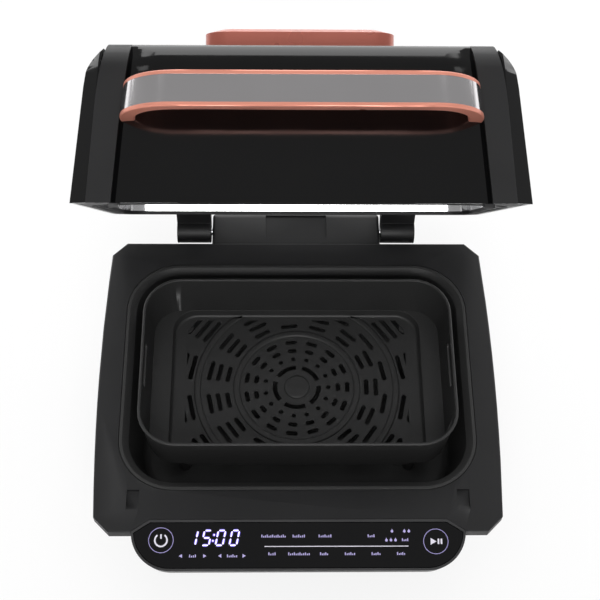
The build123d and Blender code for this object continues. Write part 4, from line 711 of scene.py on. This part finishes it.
@dataclass
class CrisperBasket:
    """The drawn basket with its rolled lip, side ledges, pressed ridges, slotted floor and legs, in mm.

    The rings hold a circle's radius and the angle that one slot covers. The slotted and the ridged area
    are half a width, half a depth and a cut corner.
    """

    middle: float = 7.0
    floor: float = 94.0
    ledge: float = 103.0
    lip_foot: float = 153.4
    top: float = 156.0
    wall: float = 1.6
    inside: tuple[Level, ...] = (
        Level(floor, 248.0, 165.0, 23.0, 2.5), Level(ledge, 252.0, 166.6, 23.0, 1.5),
        Level(ledge, 290.0, 167.0, 28.0, 2.5),
    )
    lip: tuple[Level, ...] = (
        Level(top, 298.0, 175.0, 34.0, 1.0), Level(top, 304.0, 181.0, 37.0, 1.2),
        Level(lip_foot, 304.0, 181.0, 37.0, 0.8), Level(lip_foot, 301.0, 178.0, 35.5),
    )
    spokes: int = 15
    slot_width: float = 4.7
    slot_corner: float = 1.5
    hole_ring: float = 31.7
    full_rings: tuple[tuple[float, float], ...] = ((41.3, 6.0), (50.9, 8.0), (70.0, 10.5), (79.5, 11.0))
    side_rings: tuple[tuple[float, float], ...] = ((88.6, 11.5), (107.5, 12.5), (116.5, 12.5), (126.0, 12.5))
    hub_ring: float = 22.0
    hub_slots: int = 5
    hub_start: float = 20.0
    hub_sweep: float = 56.0
    slotted: tuple[float, float, float] = (111.5, 77.0, 7.0)
    least_slot: float = 11.0
    cut_high: float = 4.0
    cut_under: float = 0.2
    ridges: tuple[float, ...] = (60.5, 100.0)
    ridged: tuple[float, float, float] = (122.0, 80.5, 8.0)
    ridge_width: float = 7.0
    ridge_high: float = 2.0
    ridge_round: float = 2.1
    least_ridge: float = 0.5
    boss_radius: float = 13.0
    leg_foot: float = 56.0
    leg_radius: float = 6.0
    leg_place: tuple[float, float] = (112.0, 68.5)
    overlap: float = 0.3
    grip: tuple[float, float, float] = (320.0, 46.0, 9.0)
    grip_drop: float = 12.0
    grip_round: float = 3.0

    def _tub(self) -> bmesh.types.BMesh:
        """Draws the closed sheet, from the floor's upper face over the lip to its lower face.

        Returns:
            Its mesh.
        """
        bm = bmesh.new()
        levels = [*self.inside, *self.lip, *(level.outside(self.wall) for level in reversed(self.inside))]
        lines = [level.add(bm, self.middle) for level in levels]
        for one, other in zip(lines, lines[1:]):
            bmesh.ops.bridge_loops(bm, edges=one + other)
        for line in (lines[0], lines[-1]):
            bmesh.ops.contextual_create(bm, geom=line)
        bmesh.ops.recalc_face_normals(bm, faces=bm.faces)
        for level, line in zip(levels, lines):
            if level.bend:
                bmesh.ops.bevel(bm, geom=line, offset=level.bend, segments=3, profile=0.5, affect="EDGES",
                                clamp_overlap=True)
        return bm

    def _slots(self) -> bmesh.types.BMesh:
        """Draws the rings of slots and holes, of which the outer ones are alike left and right.

        Returns:
            The mesh that cuts them.
        """
        shapes = FlatShapes(self.floor - self.wall - self.cut_under, self.middle)
        for place in range(self.spokes):
            turn = place * 360.0 / self.spokes
            shapes.disc(self.hole_ring, turn, self.slot_width / 2)
            self._row(shapes, self.full_rings, turn)
            if 90.0 < turn < 270.0:
                self._row(shapes, self.side_rings, turn)
                self._row(shapes, self.side_rings, 180.0 - turn)
        for place in range(self.hub_slots):
            start = self.hub_start + place * 360.0 / self.hub_slots
            shapes.band(self.hub_ring, self.slot_width, start, self.hub_sweep, steps=8)
        shapes.trim(*self.slotted)
        return shapes.raise_to(self.cut_high, self.least_slot)

    def _row(self, shapes: FlatShapes, rings: tuple[tuple[float, float], ...], turn: float) -> None:
        """Adds one spoke's slots, each as long as its share of its ring and its round ends.

        Args:
            shapes: The shapes to add them to.
            rings: Each ring with the angle that its slot covers, in degrees.
            turn: The spoke's angle in degrees.
        """
        for ring, sweep in rings:
            length = 2.0 * ring * math.sin(math.radians(sweep / 2)) + self.slot_width
            shapes.slot(ring, turn, self.slot_width, length, self.slot_corner)

    def _grip(self) -> bmesh.types.BMesh:
        """Draws the bar that cuts a grip slot through both side walls.

        Returns:
            Its mesh.
        """
        bm = bmesh.new()
        made = bmesh.ops.create_cube(bm, size=1.0)["verts"]
        bmesh.ops.scale(bm, vec=self.grip, verts=made)
        bmesh.ops.translate(bm, verts=made, vec=(0.0, self.middle, self.top - self.grip_drop))
        sides = [edge for edge in bm.edges if abs(edge.verts[0].co.x - edge.verts[1].co.x) > 1.0]
        bmesh.ops.bevel(bm, geom=sides, offset=self.grip_round, segments=4, profile=0.5, affect="EDGES")
        return bm

    def _raised(self) -> list[bmesh.types.BMesh]:
        """Draws the boss and the ridges on the floor and the legs under it.

        Returns:
            Their meshes, which reach a little into the floor.
        """
        boss = FlatShapes(self.floor - self.overlap, self.middle)
        boss.disc(0.0, 0.0, self.boss_radius, sides=32)
        parts = [boss.raise_to(self.ridge_high + self.overlap, rounded=self.ridge_round)]
        for ridge in self.ridges:
            ring = FlatShapes(self.floor - self.overlap, self.middle)
            ring.band(ridge, self.ridge_width, 0.0, 360.0, steps=72)
            ring.trim(*self.ridged)
            parts.append(ring.raise_to(self.ridge_high + self.overlap, self.least_ridge, self.ridge_round))
        for across in (-1, 1):
            for along in (-1, 1):
                leg = FlatShapes(self.leg_foot, self.middle)
                leg.disc(0.0, 0.0, self.leg_radius, sides=20)
                bmesh.ops.translate(leg.bm, verts=leg.bm.verts,
                                    vec=(across * self.leg_place[0], along * self.leg_place[1], 0.0))
                parts.append(leg.raise_to(self.floor - self.wall - self.leg_foot + self.overlap))
        return parts

    def build(self) -> bpy.types.Object:
        """Makes the basket that stands for the CAD node.

        Returns:
            The new piece.
        """
        tools = [(Joining.CUT, self._slots()), (Joining.CUT, self._grip())]
        tools += [(Joining.ADD, part) for part in self._raised()]
        bm = joined(self._tub(), tools)
        return PRESSED.stand_in("crisper_basket_drawn", bm, "crisper_basket", NONSTICK)


@dataclass
class CookingSpace(SubAssembly):
    """The pot and the basket that stands in it."""

    title: str = "cooking_space"
    finishes: dict[str, Finish] = field(default_factory=lambda: {
        "cooking_pot": NONSTICK, "crisper_basket": NONSTICK,
    })
    softened: dict[str, Softening] = field(default_factory=lambda: {"cooking_pot": FINE})

    def build(self) -> list[bpy.types.Object]:
        """Makes the softened pot and the basket.

        Returns:
            The new pieces.
        """
        return super().build() + [CrisperBasket().build()]


@dataclass
class HingeGroup(SubAssembly):
    """The tower, the arms and the pins with their springs."""

    title: str = "hinge_group"
    finishes: dict[str, Finish] = field(default_factory=lambda: {
        "hinge_tower": MATTE_BLACK, "hinge_arms": MATTE_BLACK, "hinge_pins": ZINC, "hinge_springs": ZINC,
        "pin_brackets": ZINC,
    })
    softened: dict[str, Softening] = field(default_factory=lambda: {
        "hinge_tower": EDGE, "hinge_arms": ARMS,
    })


@dataclass
class LidShell(SubAssembly):
    """The lid's outer shell with its frame, gasket and screws."""

    title: str = "lid_shell"
    finishes: dict[str, Finish] = field(default_factory=lambda: {
        "lid_middle_cover": GLOSS_BLACK, "lid_left_rail": MATTE_BLACK, "lid_right_rail": MATTE_BLACK,
        "lid_left_cheek": GLOSS_BLACK, "lid_right_cheek": GLOSS_BLACK, "lid_frame": MATTE_BLACK,
        "lid_gasket": RUBBER, "lid_screws": ZINC,
    })
    softened: dict[str, Softening] = field(default_factory=lambda: {
        "lid_middle_cover": BROW, "lid_left_rail": BROW, "lid_right_rail": BROW, "lid_left_cheek": CHEEK,
        "lid_right_cheek": CHEEK, "lid_frame": FINE,
    })


@dataclass
class LidInside(SubAssembly):
    """The hot pieces under the lid and the motor over them."""

    title: str = "lid_inside"
    finishes: dict[str, Finish] = field(default_factory=lambda: {
        "lid_liner": LINER, "fan_guard": LINER, "heater_element": SHEATH, "heater_bushes": CERAMIC,
        "motor_bracket": LINER, "fan_motor": MOTOR, "motor_shaft": ZINC, "fan_impeller": ALUMINIUM,
        "cooling_fan": MATTE_BLACK, "temperature_probe": LINER,
    })
    softened: dict[str, Softening] = field(default_factory=lambda: {
        "lid_liner": SMOOTH, "heater_element": SMOOTH, "fan_guard": SMOOTH,
    })


@dataclass
class VentBlock(SubAssembly):
    """The rose-gold vent housing with its steel crown plate."""

    title: str = "vent_block"
    finishes: dict[str, Finish] = field(default_factory=lambda: {
        # The vent housing takes the darker rose copy, which is painted shade on its front wall.
        "vent_housing": SHADED_ROSE, "vent_plate": BRUSHED,
    })
    softened: dict[str, Softening] = field(default_factory=lambda: {
        "vent_housing": BROAD, "vent_plate": FINE,
    })


@dataclass
class Handle(SubAssembly):
    """The bowed handle with its steel face and its screws."""

    title: str = "handle"
    finishes: dict[str, Finish] = field(default_factory=lambda: {
        "handle_frame": ROSE_GOLD, "handle_inlay": BRUSHED, "handle_screws": ZINC,
    })
    softened: dict[str, Softening] = field(default_factory=lambda: {
        "handle_frame": EDGE, "handle_inlay": SMOOTH,
    })


# Prints on the touch panel

@dataclass(frozen=True)
class PanelPlane:
    """The glass face of the tilted panel: x to the right, s down from the panel's back edge, in mm."""

    back: tuple[float, float, float] = (0.0, -146.0, 129.2)
    tilt: float = 15.0
    sink: float = 0.4

    def matrix(self) -> Matrix:
        """Builds the matrix from panel millimetres (x, up, off the face) to the row frame.

        Returns:
            The matrix.
        """
        tilt = math.radians(self.tilt)
        normal = Vector((0.0, -math.sin(tilt), math.cos(tilt)))
        place = Matrix.Translation((Vector(self.back) - normal * self.sink) * MM)
        return place @ Matrix.Rotation(tilt, 4, "X") @ Matrix.Scale(MM, 4)


SEGMENTS = {"0": "abcdef", "1": "bc", "5": "acdfg"}
SEGMENT_PLACES = {"a": (0.0, 1.0, 0), "g": (0.0, 0.0, 0), "d": (0.0, -1.0, 0),
                  "f": (-1.0, 0.5, 90), "b": (1.0, 0.5, 90), "e": (-1.0, -0.5, 90), "c": (1.0, -0.5, 90)}


@dataclass
class PrintSheet:
    """Collects flat signs of one finish on the panel and makes them one thin piece, in mm and degrees.

    Each sign is at a place: how far across the panel, and how far down from its back edge.
    """

    name: str
    finish: Finish
    high: float = 0.08
    ring_steps: int = 64
    arc_steps: int = 40
    drop_tip: float = 0.9
    stroke_high: float = 3.5
    stroke_pitch: float = 1.7
    stroke_width: float = 0.95
    stroke_shares: tuple[float, ...] = (1.0, 0.68, 0.8)
    segment_gap: float = 0.25
    bm: bmesh.types.BMesh = field(default_factory=bmesh.new)

    def _spot(self, at: tuple[float, float]) -> Vector:
        """A place on the panel as a point of the mesh, whose y runs up the panel."""
        return Vector((at[0], -at[1], 0.0))

    def _raise(self, faces: list[bmesh.types.BMFace]) -> None:
        """Gives new flat faces their thickness.

        Args:
            faces: The faces.
        """
        grown = bmesh.ops.extrude_face_region(self.bm, geom=faces)
        verts = [item for item in grown["geom"] if isinstance(item, bmesh.types.BMVert)]
        bmesh.ops.translate(self.bm, verts=verts, vec=(0.0, 0.0, self.high))

    def disc(self, at: tuple[float, float], radius: float, sides: int = 40, turn: float = 0.0) -> None:
        """Adds a disc or regular polygon.

        Args:
            at: Its middle.
            radius: Its radius.
            sides: How many sides it has.
            turn: How far it is turned.
        """
        place = Matrix.Translation(self._spot(at)) @ Matrix.Rotation(math.radians(turn), 4, "Z")
        made = bmesh.ops.create_circle(self.bm, cap_ends=True, radius=radius, segments=sides, matrix=place)
        self._raise(list(made["verts"][0].link_faces))

    def _line_section(self, at: tuple[float, float], radius: float, width: float) -> bmesh.types.BMFace:
        """Adds the upright section of a round line, to the right of its centre.

        Args:
            at: The line's centre.
            radius: The radius of its middle.
            width: Its width.

        Returns:
            The section's face.
        """
        made = bmesh.ops.create_grid(self.bm, x_segments=1, y_segments=1, size=0.5)["verts"]
        for vert in made:
            reach = radius + vert.co.x * width
            vert.co = self._spot(at) + Vector((reach, 0.0, (vert.co.y + 0.5) * self.high))
        return made[0].link_faces[0]

    def ring(self, at: tuple[float, float], radius: float, width: float) -> None:
        """Adds a ring.

        Args:
            at: Its centre.
            radius: The radius of its line's middle.
            width: The width of its line.
        """
        face = self._line_section(at, radius, width)
        edges, verts = list(face.edges), list(face.verts)
        bmesh.ops.delete(self.bm, geom=[face], context="FACES_ONLY")
        bmesh.ops.spin(self.bm, geom=[*edges, *verts], cent=self._spot(at), axis=(0.0, 0.0, 1.0),
                       angle=math.tau, steps=self.ring_steps, use_merge=True)

    def arc(self, at: tuple[float, float], radius: float, width: float, start: float, end: float) -> None:
        """Adds an open ring.

        Args:
            at: Its centre.
            radius: The radius of its line's middle.
            width: The width of its line.
            start: The angle it starts at.
            end: The angle it ends at.
        """
        face = self._line_section(at, radius, width)
        bmesh.ops.rotate(self.bm, verts=face.verts, cent=self._spot(at),
                         matrix=Matrix.Rotation(math.radians(start), 3, "Z"))
        bmesh.ops.spin(self.bm, geom=[face, *face.edges, *face.verts], cent=self._spot(at),
                       axis=(0.0, 0.0, 1.0), angle=math.radians(end - start), steps=self.arc_steps)

    def bar(self, at: tuple[float, float], length: float, width: float, turn: float = 0.0,
            lean: float = 0.0) -> None:
        """Adds a bar with pointed ends, as a digit's segment or a dash has.

        Args:
            at: Its middle.
            length: Its length.
            width: Its width.
            turn: How far it is turned.
            lean: How far it leans to the right, as a share of its height.
        """
        made = bmesh.ops.create_circle(self.bm, cap_ends=True, radius=1.0, segments=6)["verts"]
        for vert in made:
            tip = abs(vert.co.x) > abs(vert.co.y) * 2
            reach = length / 2 if tip else length / 2 - width / 2
            side = 0.0 if tip else width / 2
            vert.co = (math.copysign(reach, vert.co.x), math.copysign(side, vert.co.y), 0.0)
        shear = Matrix(((1, lean, 0, 0), (0, 1, 0, 0), (0, 0, 1, 0), (0, 0, 0, 1)))
        place = Matrix.Translation(self._spot(at)) @ shear @ Matrix.Rotation(math.radians(turn), 4, "Z")
        bmesh.ops.transform(self.bm, matrix=place, verts=made)
        self._raise(list(made[0].link_faces))

    def drop(self, at: tuple[float, float], radius: float) -> None:
        """Adds a drop with its tip up.

        Args:
            at: The middle of its round end.
            radius: The radius of that end.
        """
        place = Matrix.Translation(self._spot(at)) @ Matrix.Rotation(math.radians(90.0), 4, "Z")
        made = bmesh.ops.create_circle(self.bm, cap_ends=True, radius=radius, segments=16, matrix=place)
        tip = max(made["verts"], key=lambda vert: vert.co.y)
        tip.co.y += radius * self.drop_tip
        self._raise(list(tip.link_faces))

    def label(self, at: tuple[float, float], length: float) -> None:
        """Adds a row of short strokes that stands for a printed word.

        Args:
            at: Its middle.
            length: Its length.
        """
        count = max(2, round(length / self.stroke_pitch))
        for place in range(count):
            across = at[0] - length / 2 + (place + 0.5) * length / count
            tall = self.stroke_high * self.stroke_shares[place % len(self.stroke_shares)]
            self.bar((across, at[1] + (self.stroke_high - tall) / 2), tall, self.stroke_width, turn=90.0)

    def digit(self, sign: str, at: tuple[float, float], size: tuple[float, float], line: float,
              lean: float) -> None:
        """Adds one seven-segment digit.

        Args:
            sign: The digit.
            at: Its middle.
            size: Its width and height between the middles of its segments.
            line: The width of its segments.
            lean: How far it leans, as a share of its height.
        """
        wide, high = size
        for key in SEGMENTS[sign]:
            across, up, turn = SEGMENT_PLACES[key]
            length = (high / 2 if turn else wide) - line * self.segment_gap
            rise = up * high / 2
            self.bar((at[0] + across * wide / 2 + rise * lean, at[1] - rise), length, line, turn, lean)

    def piece(self) -> bpy.types.Object:
        """Places the signs on the panel's glass.

        Returns:
            The new piece.
        """
        bmesh.ops.transform(self.bm, matrix=PanelPlane().matrix(), verts=self.bm.verts)
        return new_piece(self.name, self.bm, self.finish, body_of("touch_glass"))


@dataclass
class ControlPanel(SubAssembly):
    """The tilted touch panel with its clock, rings and printed signs, in mm."""

    title: str = "control_panel"
    finishes: dict[str, Finish] = field(default_factory=lambda: {
        "control_housing": TRIM, "touch_glass": BLACK_GLASS, "display_board": BOARD, "clock_display": CLOCK,
    })
    softened: dict[str, Softening] = field(default_factory=lambda: {
        "control_housing": EDGE, "touch_glass": SMOOTH,
    })
    time: str = "1500"
    digit_places: tuple[float, ...] = (-97.2, -84.6, -71.9, -59.2)
    digit_row: float = 16.5
    digit_size: tuple[float, float] = (6.6, 13.4)
    digit_line: float = 1.3
    digit_lean: float = 0.2
    colon_place: float = -78.4
    colon_rise: float = 2.68
    colon_share: float = 0.55
    halo_line: float = 2.5
    halo_thick: float = 0.04
    power_at: tuple[float, float] = (-126.6, 18.5)
    start_at: tuple[float, float] = (126.4, 20.2)
    ring_radius: float = 11.3
    ring_line: float = 0.6
    icon_radius: float = 5.6
    icon_line: float = 1.5
    power_arc: tuple[float, float] = (125.0, 415.0)
    power_stroke: float = 0.6
    play_place: float = -3.0
    play_radius: float = 3.6
    pause_places: tuple[float, float] = (2.4, 5.2)
    pause_high: float = 6.4
    line_ends: tuple[float, float] = (-31.9, 101.5)
    line_width: float = 0.7
    top_row: float = 15.0
    line_row: float = 24.4
    low_row: float = 31.1
    arrow_row: float = 32.8
    top_words: tuple[tuple[float, float], ...] = ((-23.2, 23.0), (0.0, 12.0), (24.2, 12.5), (66.7, 7.0))
    low_words: tuple[tuple[float, float], ...] = ((-24.6, 7.5), (0.2, 20.5), (23.2, 8.0), (47.0, 10.0),
                                                  (71.0, 9.0), (94.0, 8.0))
    small_words: tuple[tuple[float, float], ...] = ((-97.4, 7.0), (-61.2, 10.0))
    arrows: tuple[tuple[float, float], ...] = ((-108.0, 90.0), (-86.6, -90.0), (-72.0, 90.0), (-50.6, -90.0))
    arrow_radius: float = 2.0
    drops: tuple[tuple[float, float], ...] = ((86.1, 10.9), (97.5, 10.9), (101.7, 10.9), (80.8, 19.0),
                                              (85.0, 19.0), (89.2, 19.0))
    drop_radius: float = 1.25
    drop_word: float = 6.5
    drop_word_at: tuple[float, float] = (98.0, 18.6)

    def build(self) -> list[bpy.types.Object]:
        """Makes the softened nodes and all the prints.

        Returns:
            The new pieces.
        """
        return super().build() + [
            self._digits(PrintSheet("panel_digits", LIT_DIGIT), self.digit_line),
            self._digits(PrintSheet("panel_digit_halo", HALO, self.halo_thick), self.halo_line),
            self._rings(), self._prints(), self._dim_prints(),
        ]

    def _digits(self, sheet: PrintSheet, line: float) -> bpy.types.Object:
        """Makes the lit digits of the clock, or the wider glow under them.

        Args:
            sheet: The sheet that they are on.
            line: The width of their segments.

        Returns:
            The new piece.
        """
        for sign, place in zip(self.time, self.digit_places):
            sheet.digit(sign, (place, self.digit_row), self.digit_size, line, self.digit_lean)
        for rise in (-self.colon_rise, self.colon_rise):
            sheet.disc((self.colon_place + rise * self.digit_lean, self.digit_row - rise),
                       line * self.colon_share, sides=16)
        return sheet.piece()

    def _rings(self) -> bpy.types.Object:
        """Makes the two lit rings round the touch buttons.

        Returns:
            The new piece.
        """
        sheet = PrintSheet("panel_rings", LIT_RING)
        for at in (self.power_at, self.start_at):
            sheet.ring(at, self.ring_radius, self.ring_line)
        return sheet.piece()

    def _prints(self) -> bpy.types.Object:
        """Makes the white signs: the power sign, the start and stop signs and the line between the rows.

        Returns:
            The new piece.
        """
        sheet = PrintSheet("panel_prints", PRINT)
        across, down = self.power_at
        sheet.bar((across, down - self.icon_radius * self.power_stroke), self.icon_radius, self.icon_line,
                  turn=90.0)
        sheet.arc(self.power_at, self.icon_radius, self.icon_line, *self.power_arc)
        across, down = self.start_at
        sheet.disc((across + self.play_place, down), self.play_radius, sides=3, turn=-90.0)
        for place in self.pause_places:
            sheet.bar((across + place, down), self.pause_high, self.icon_line, turn=90.0)
        start, end = self.line_ends
        sheet.bar(((start + end) / 2, self.line_row), end - start, self.line_width)
        return sheet.piece()

    def _dim_prints(self) -> bpy.types.Object:
        """Makes the dimmer signs: strokes for the words, arrows and drops.

        Returns:
            The new piece.
        """
        sheet = PrintSheet("panel_dim_prints", DIM_PRINT)
        for words, row in ((self.top_words, self.top_row), (self.low_words, self.low_row),
                           (self.small_words, self.arrow_row)):
            for place, length in words:
                sheet.label((place, row), length)
        sheet.label(self.drop_word_at, self.drop_word)
        for place, turn in self.arrows:
            sheet.disc((place, self.arrow_row), self.arrow_radius, sides=3, turn=turn)
        for at in self.drops:
            sheet.drop(at, self.drop_radius)
        return sheet.piece()


# Studio and camera

@dataclass(frozen=True)
class Lamp:
    """One square area lamp, in metres and watts, that shiny surfaces mirror or not."""

    name: str
    place: tuple[float, float, float]
    target: tuple[float, float, float]
    size: float
    power: float
    mirrored: bool = True

    def build(self) -> None:
        """Adds the lamp, turned to its target."""
        data = bpy.data.lights.new(self.name, "AREA")
        data.size = self.size
        data.energy = self.power
        lamp = add_object(self.name, data)
        lamp.location = self.place
        lamp.rotation_euler = (Vector(self.target) - Vector(self.place)).to_track_quat("-Z", "Y").to_euler()
        lamp.visible_glossy = self.mirrored


LAMPS = (
    Lamp("overhead_fill", (0.0, -0.2, 2.2), (0.0, 0.0, 0.1), 1.6, 14.0, mirrored=False),
    Lamp("left_card", (-1.5, 1.35, 0.75), (0.0, 0.2, 0.3), 1.1, 9.0),
    Lamp("right_card", (1.5, 1.35, 0.75), (0.0, 0.2, 0.3), 1.1, 9.0),
    Lamp("rear_card", (0.0, 1.9, 1.1), (0.0, 0.0, 0.3), 1.8, 30.0),
    Lamp("front_card", (0.0, -1.4, 1.6), (0.0, 0.0, 0.15), 0.8, 17.0),
    Lamp("left_strip", (-0.85, 0.3, 2.0), (-0.18, 0.3, 0.4), 0.3, 0.45),
    Lamp("right_strip", (0.85, 0.3, 2.0), (0.18, 0.3, 0.4), 0.3, 0.45),
)


@dataclass
class Studio:
    """The pale floor, the soft lamps and the white surroundings."""

    floor_half: float = 3.0
    floor_color: tuple[float, float, float] = (0.9, 0.9, 0.9)
    floor_glow: float = 0.82
    sky_level: float = 0.31
    lamps: tuple[Lamp, ...] = LAMPS

    def build(self) -> None:
        """Adds the floor, the lamps and the world."""
        self._floor()
        for lamp in self.lamps:
            lamp.build()
        self._world()

    def _floor(self) -> None:
        """Adds the floor, which stays near white to the camera and keeps the shadow."""
        mesh = bpy.data.meshes.new("studio_floor")
        bm = bmesh.new()
        bmesh.ops.create_grid(bm, x_segments=1, y_segments=1, size=self.floor_half)
        bmesh.ops.translate(bm, verts=bm.verts, vec=(0.0, 0.0, CAD_BOX[0][2]))
        bm.to_mesh(mesh)
        bm.free()
        mat = bpy.data.materials.new("studio_floor")
        mat.use_nodes = True
        tree = mat.node_tree
        tree.nodes.clear()
        out = tree.nodes.new("ShaderNodeOutputMaterial")
        diffuse = tree.nodes.new("ShaderNodeBsdfDiffuse")
        diffuse.inputs["Color"].default_value = (*self.floor_color, 1.0)
        glow = tree.nodes.new("ShaderNodeEmission")
        path = tree.nodes.new("ShaderNodeLightPath")
        share = tree.nodes.new("ShaderNodeMath")
        share.operation = "MULTIPLY"
        share.inputs[1].default_value = self.floor_glow
        mix = tree.nodes.new("ShaderNodeMixShader")
        tree.links.new(path.outputs["Is Camera Ray"], share.inputs[0])
        tree.links.new(share.outputs[0], mix.inputs["Fac"])
        tree.links.new(diffuse.outputs[0], mix.inputs[1])
        tree.links.new(glow.outputs[0], mix.inputs[2])
        tree.links.new(mix.outputs[0], out.inputs["Surface"])
        mesh.materials.append(mat)
        add_object("studio_floor", mesh)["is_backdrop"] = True

    def _world(self) -> None:
        """Adds the surroundings: white to the camera, a soft grey light for the rest."""
        world = bpy.data.worlds.new("studio")
        world.use_nodes = True
        bpy.context.scene.world = world
        tree = world.node_tree
        back = tree.nodes["Background"]
        path = tree.nodes.new("ShaderNodeLightPath")
        level = tree.nodes.new("ShaderNodeMapRange")
        level.inputs["To Min"].default_value = self.sky_level
        level.inputs["To Max"].default_value = 1.0
        tree.links.new(path.outputs["Is Camera Ray"], level.inputs["Value"])
        tree.links.new(level.outputs["Result"], back.inputs["Strength"])
        back.inputs["Color"].default_value = (1.0, 1.0, 1.0, 1.0)


@dataclass
class PhotoCamera:
    """The camera of the photograph, fitted to the deck and the panel."""

    place: tuple[float, float, float] = (-0.0213, -0.5569, 1.2482)
    pitch: float = 60.025
    yaw: float = -2.185
    roll: float = 1.937
    focal_px: float = 1271.9
    image_px: float = 600.0
    sensor_mm: float = 36.0

    def build(self) -> None:
        """Adds the camera and makes it the scene's own."""
        data = bpy.data.cameras.new("photo_camera")
        data.sensor_width = self.sensor_mm
        data.lens = self.focal_px * self.sensor_mm / self.image_px
        camera = add_object("photo_camera", data)
        pitch, roll = math.radians(self.pitch), math.radians(self.roll)
        turn = Matrix.Rotation(math.radians(self.yaw), 3, "Z")
        ahead = turn @ Vector((0.0, math.cos(pitch), -math.sin(pitch)))
        up = turn @ Vector((0.0, math.sin(pitch), math.cos(pitch)))
        right = turn @ Vector((1.0, 0.0, 0.0))
        side = right * math.cos(roll) + up * math.sin(roll)
        over = up * math.cos(roll) - right * math.sin(roll)
        axes = Matrix((side, over, -ahead)).transposed().to_4x4()
        camera.matrix_world = Matrix.Translation(self.place) @ axes
        bpy.context.scene.camera = camera


def main() -> None:
    """Builds the dressed grill and its studio, and reports each piece."""
    logging.basicConfig(level=logging.INFO, format="%(message)s")
    PhotoCamera().build()
    for assembly in (BaseUnit(), CookingSpace(), HingeGroup(), LidShell(), LidInside(), VentBlock(),
                     Handle(), ControlPanel()):
        assembly.dress()
        for piece in assembly.build():
            log.info("%s: %s", assembly.title, piece.name)
    Studio().build()
    bpy.context.scene.view_settings.view_transform = "Standard"
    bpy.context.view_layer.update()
    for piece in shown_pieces():
        log.info("piece %s", piece.name)


if __name__ == "__main__":
    main()
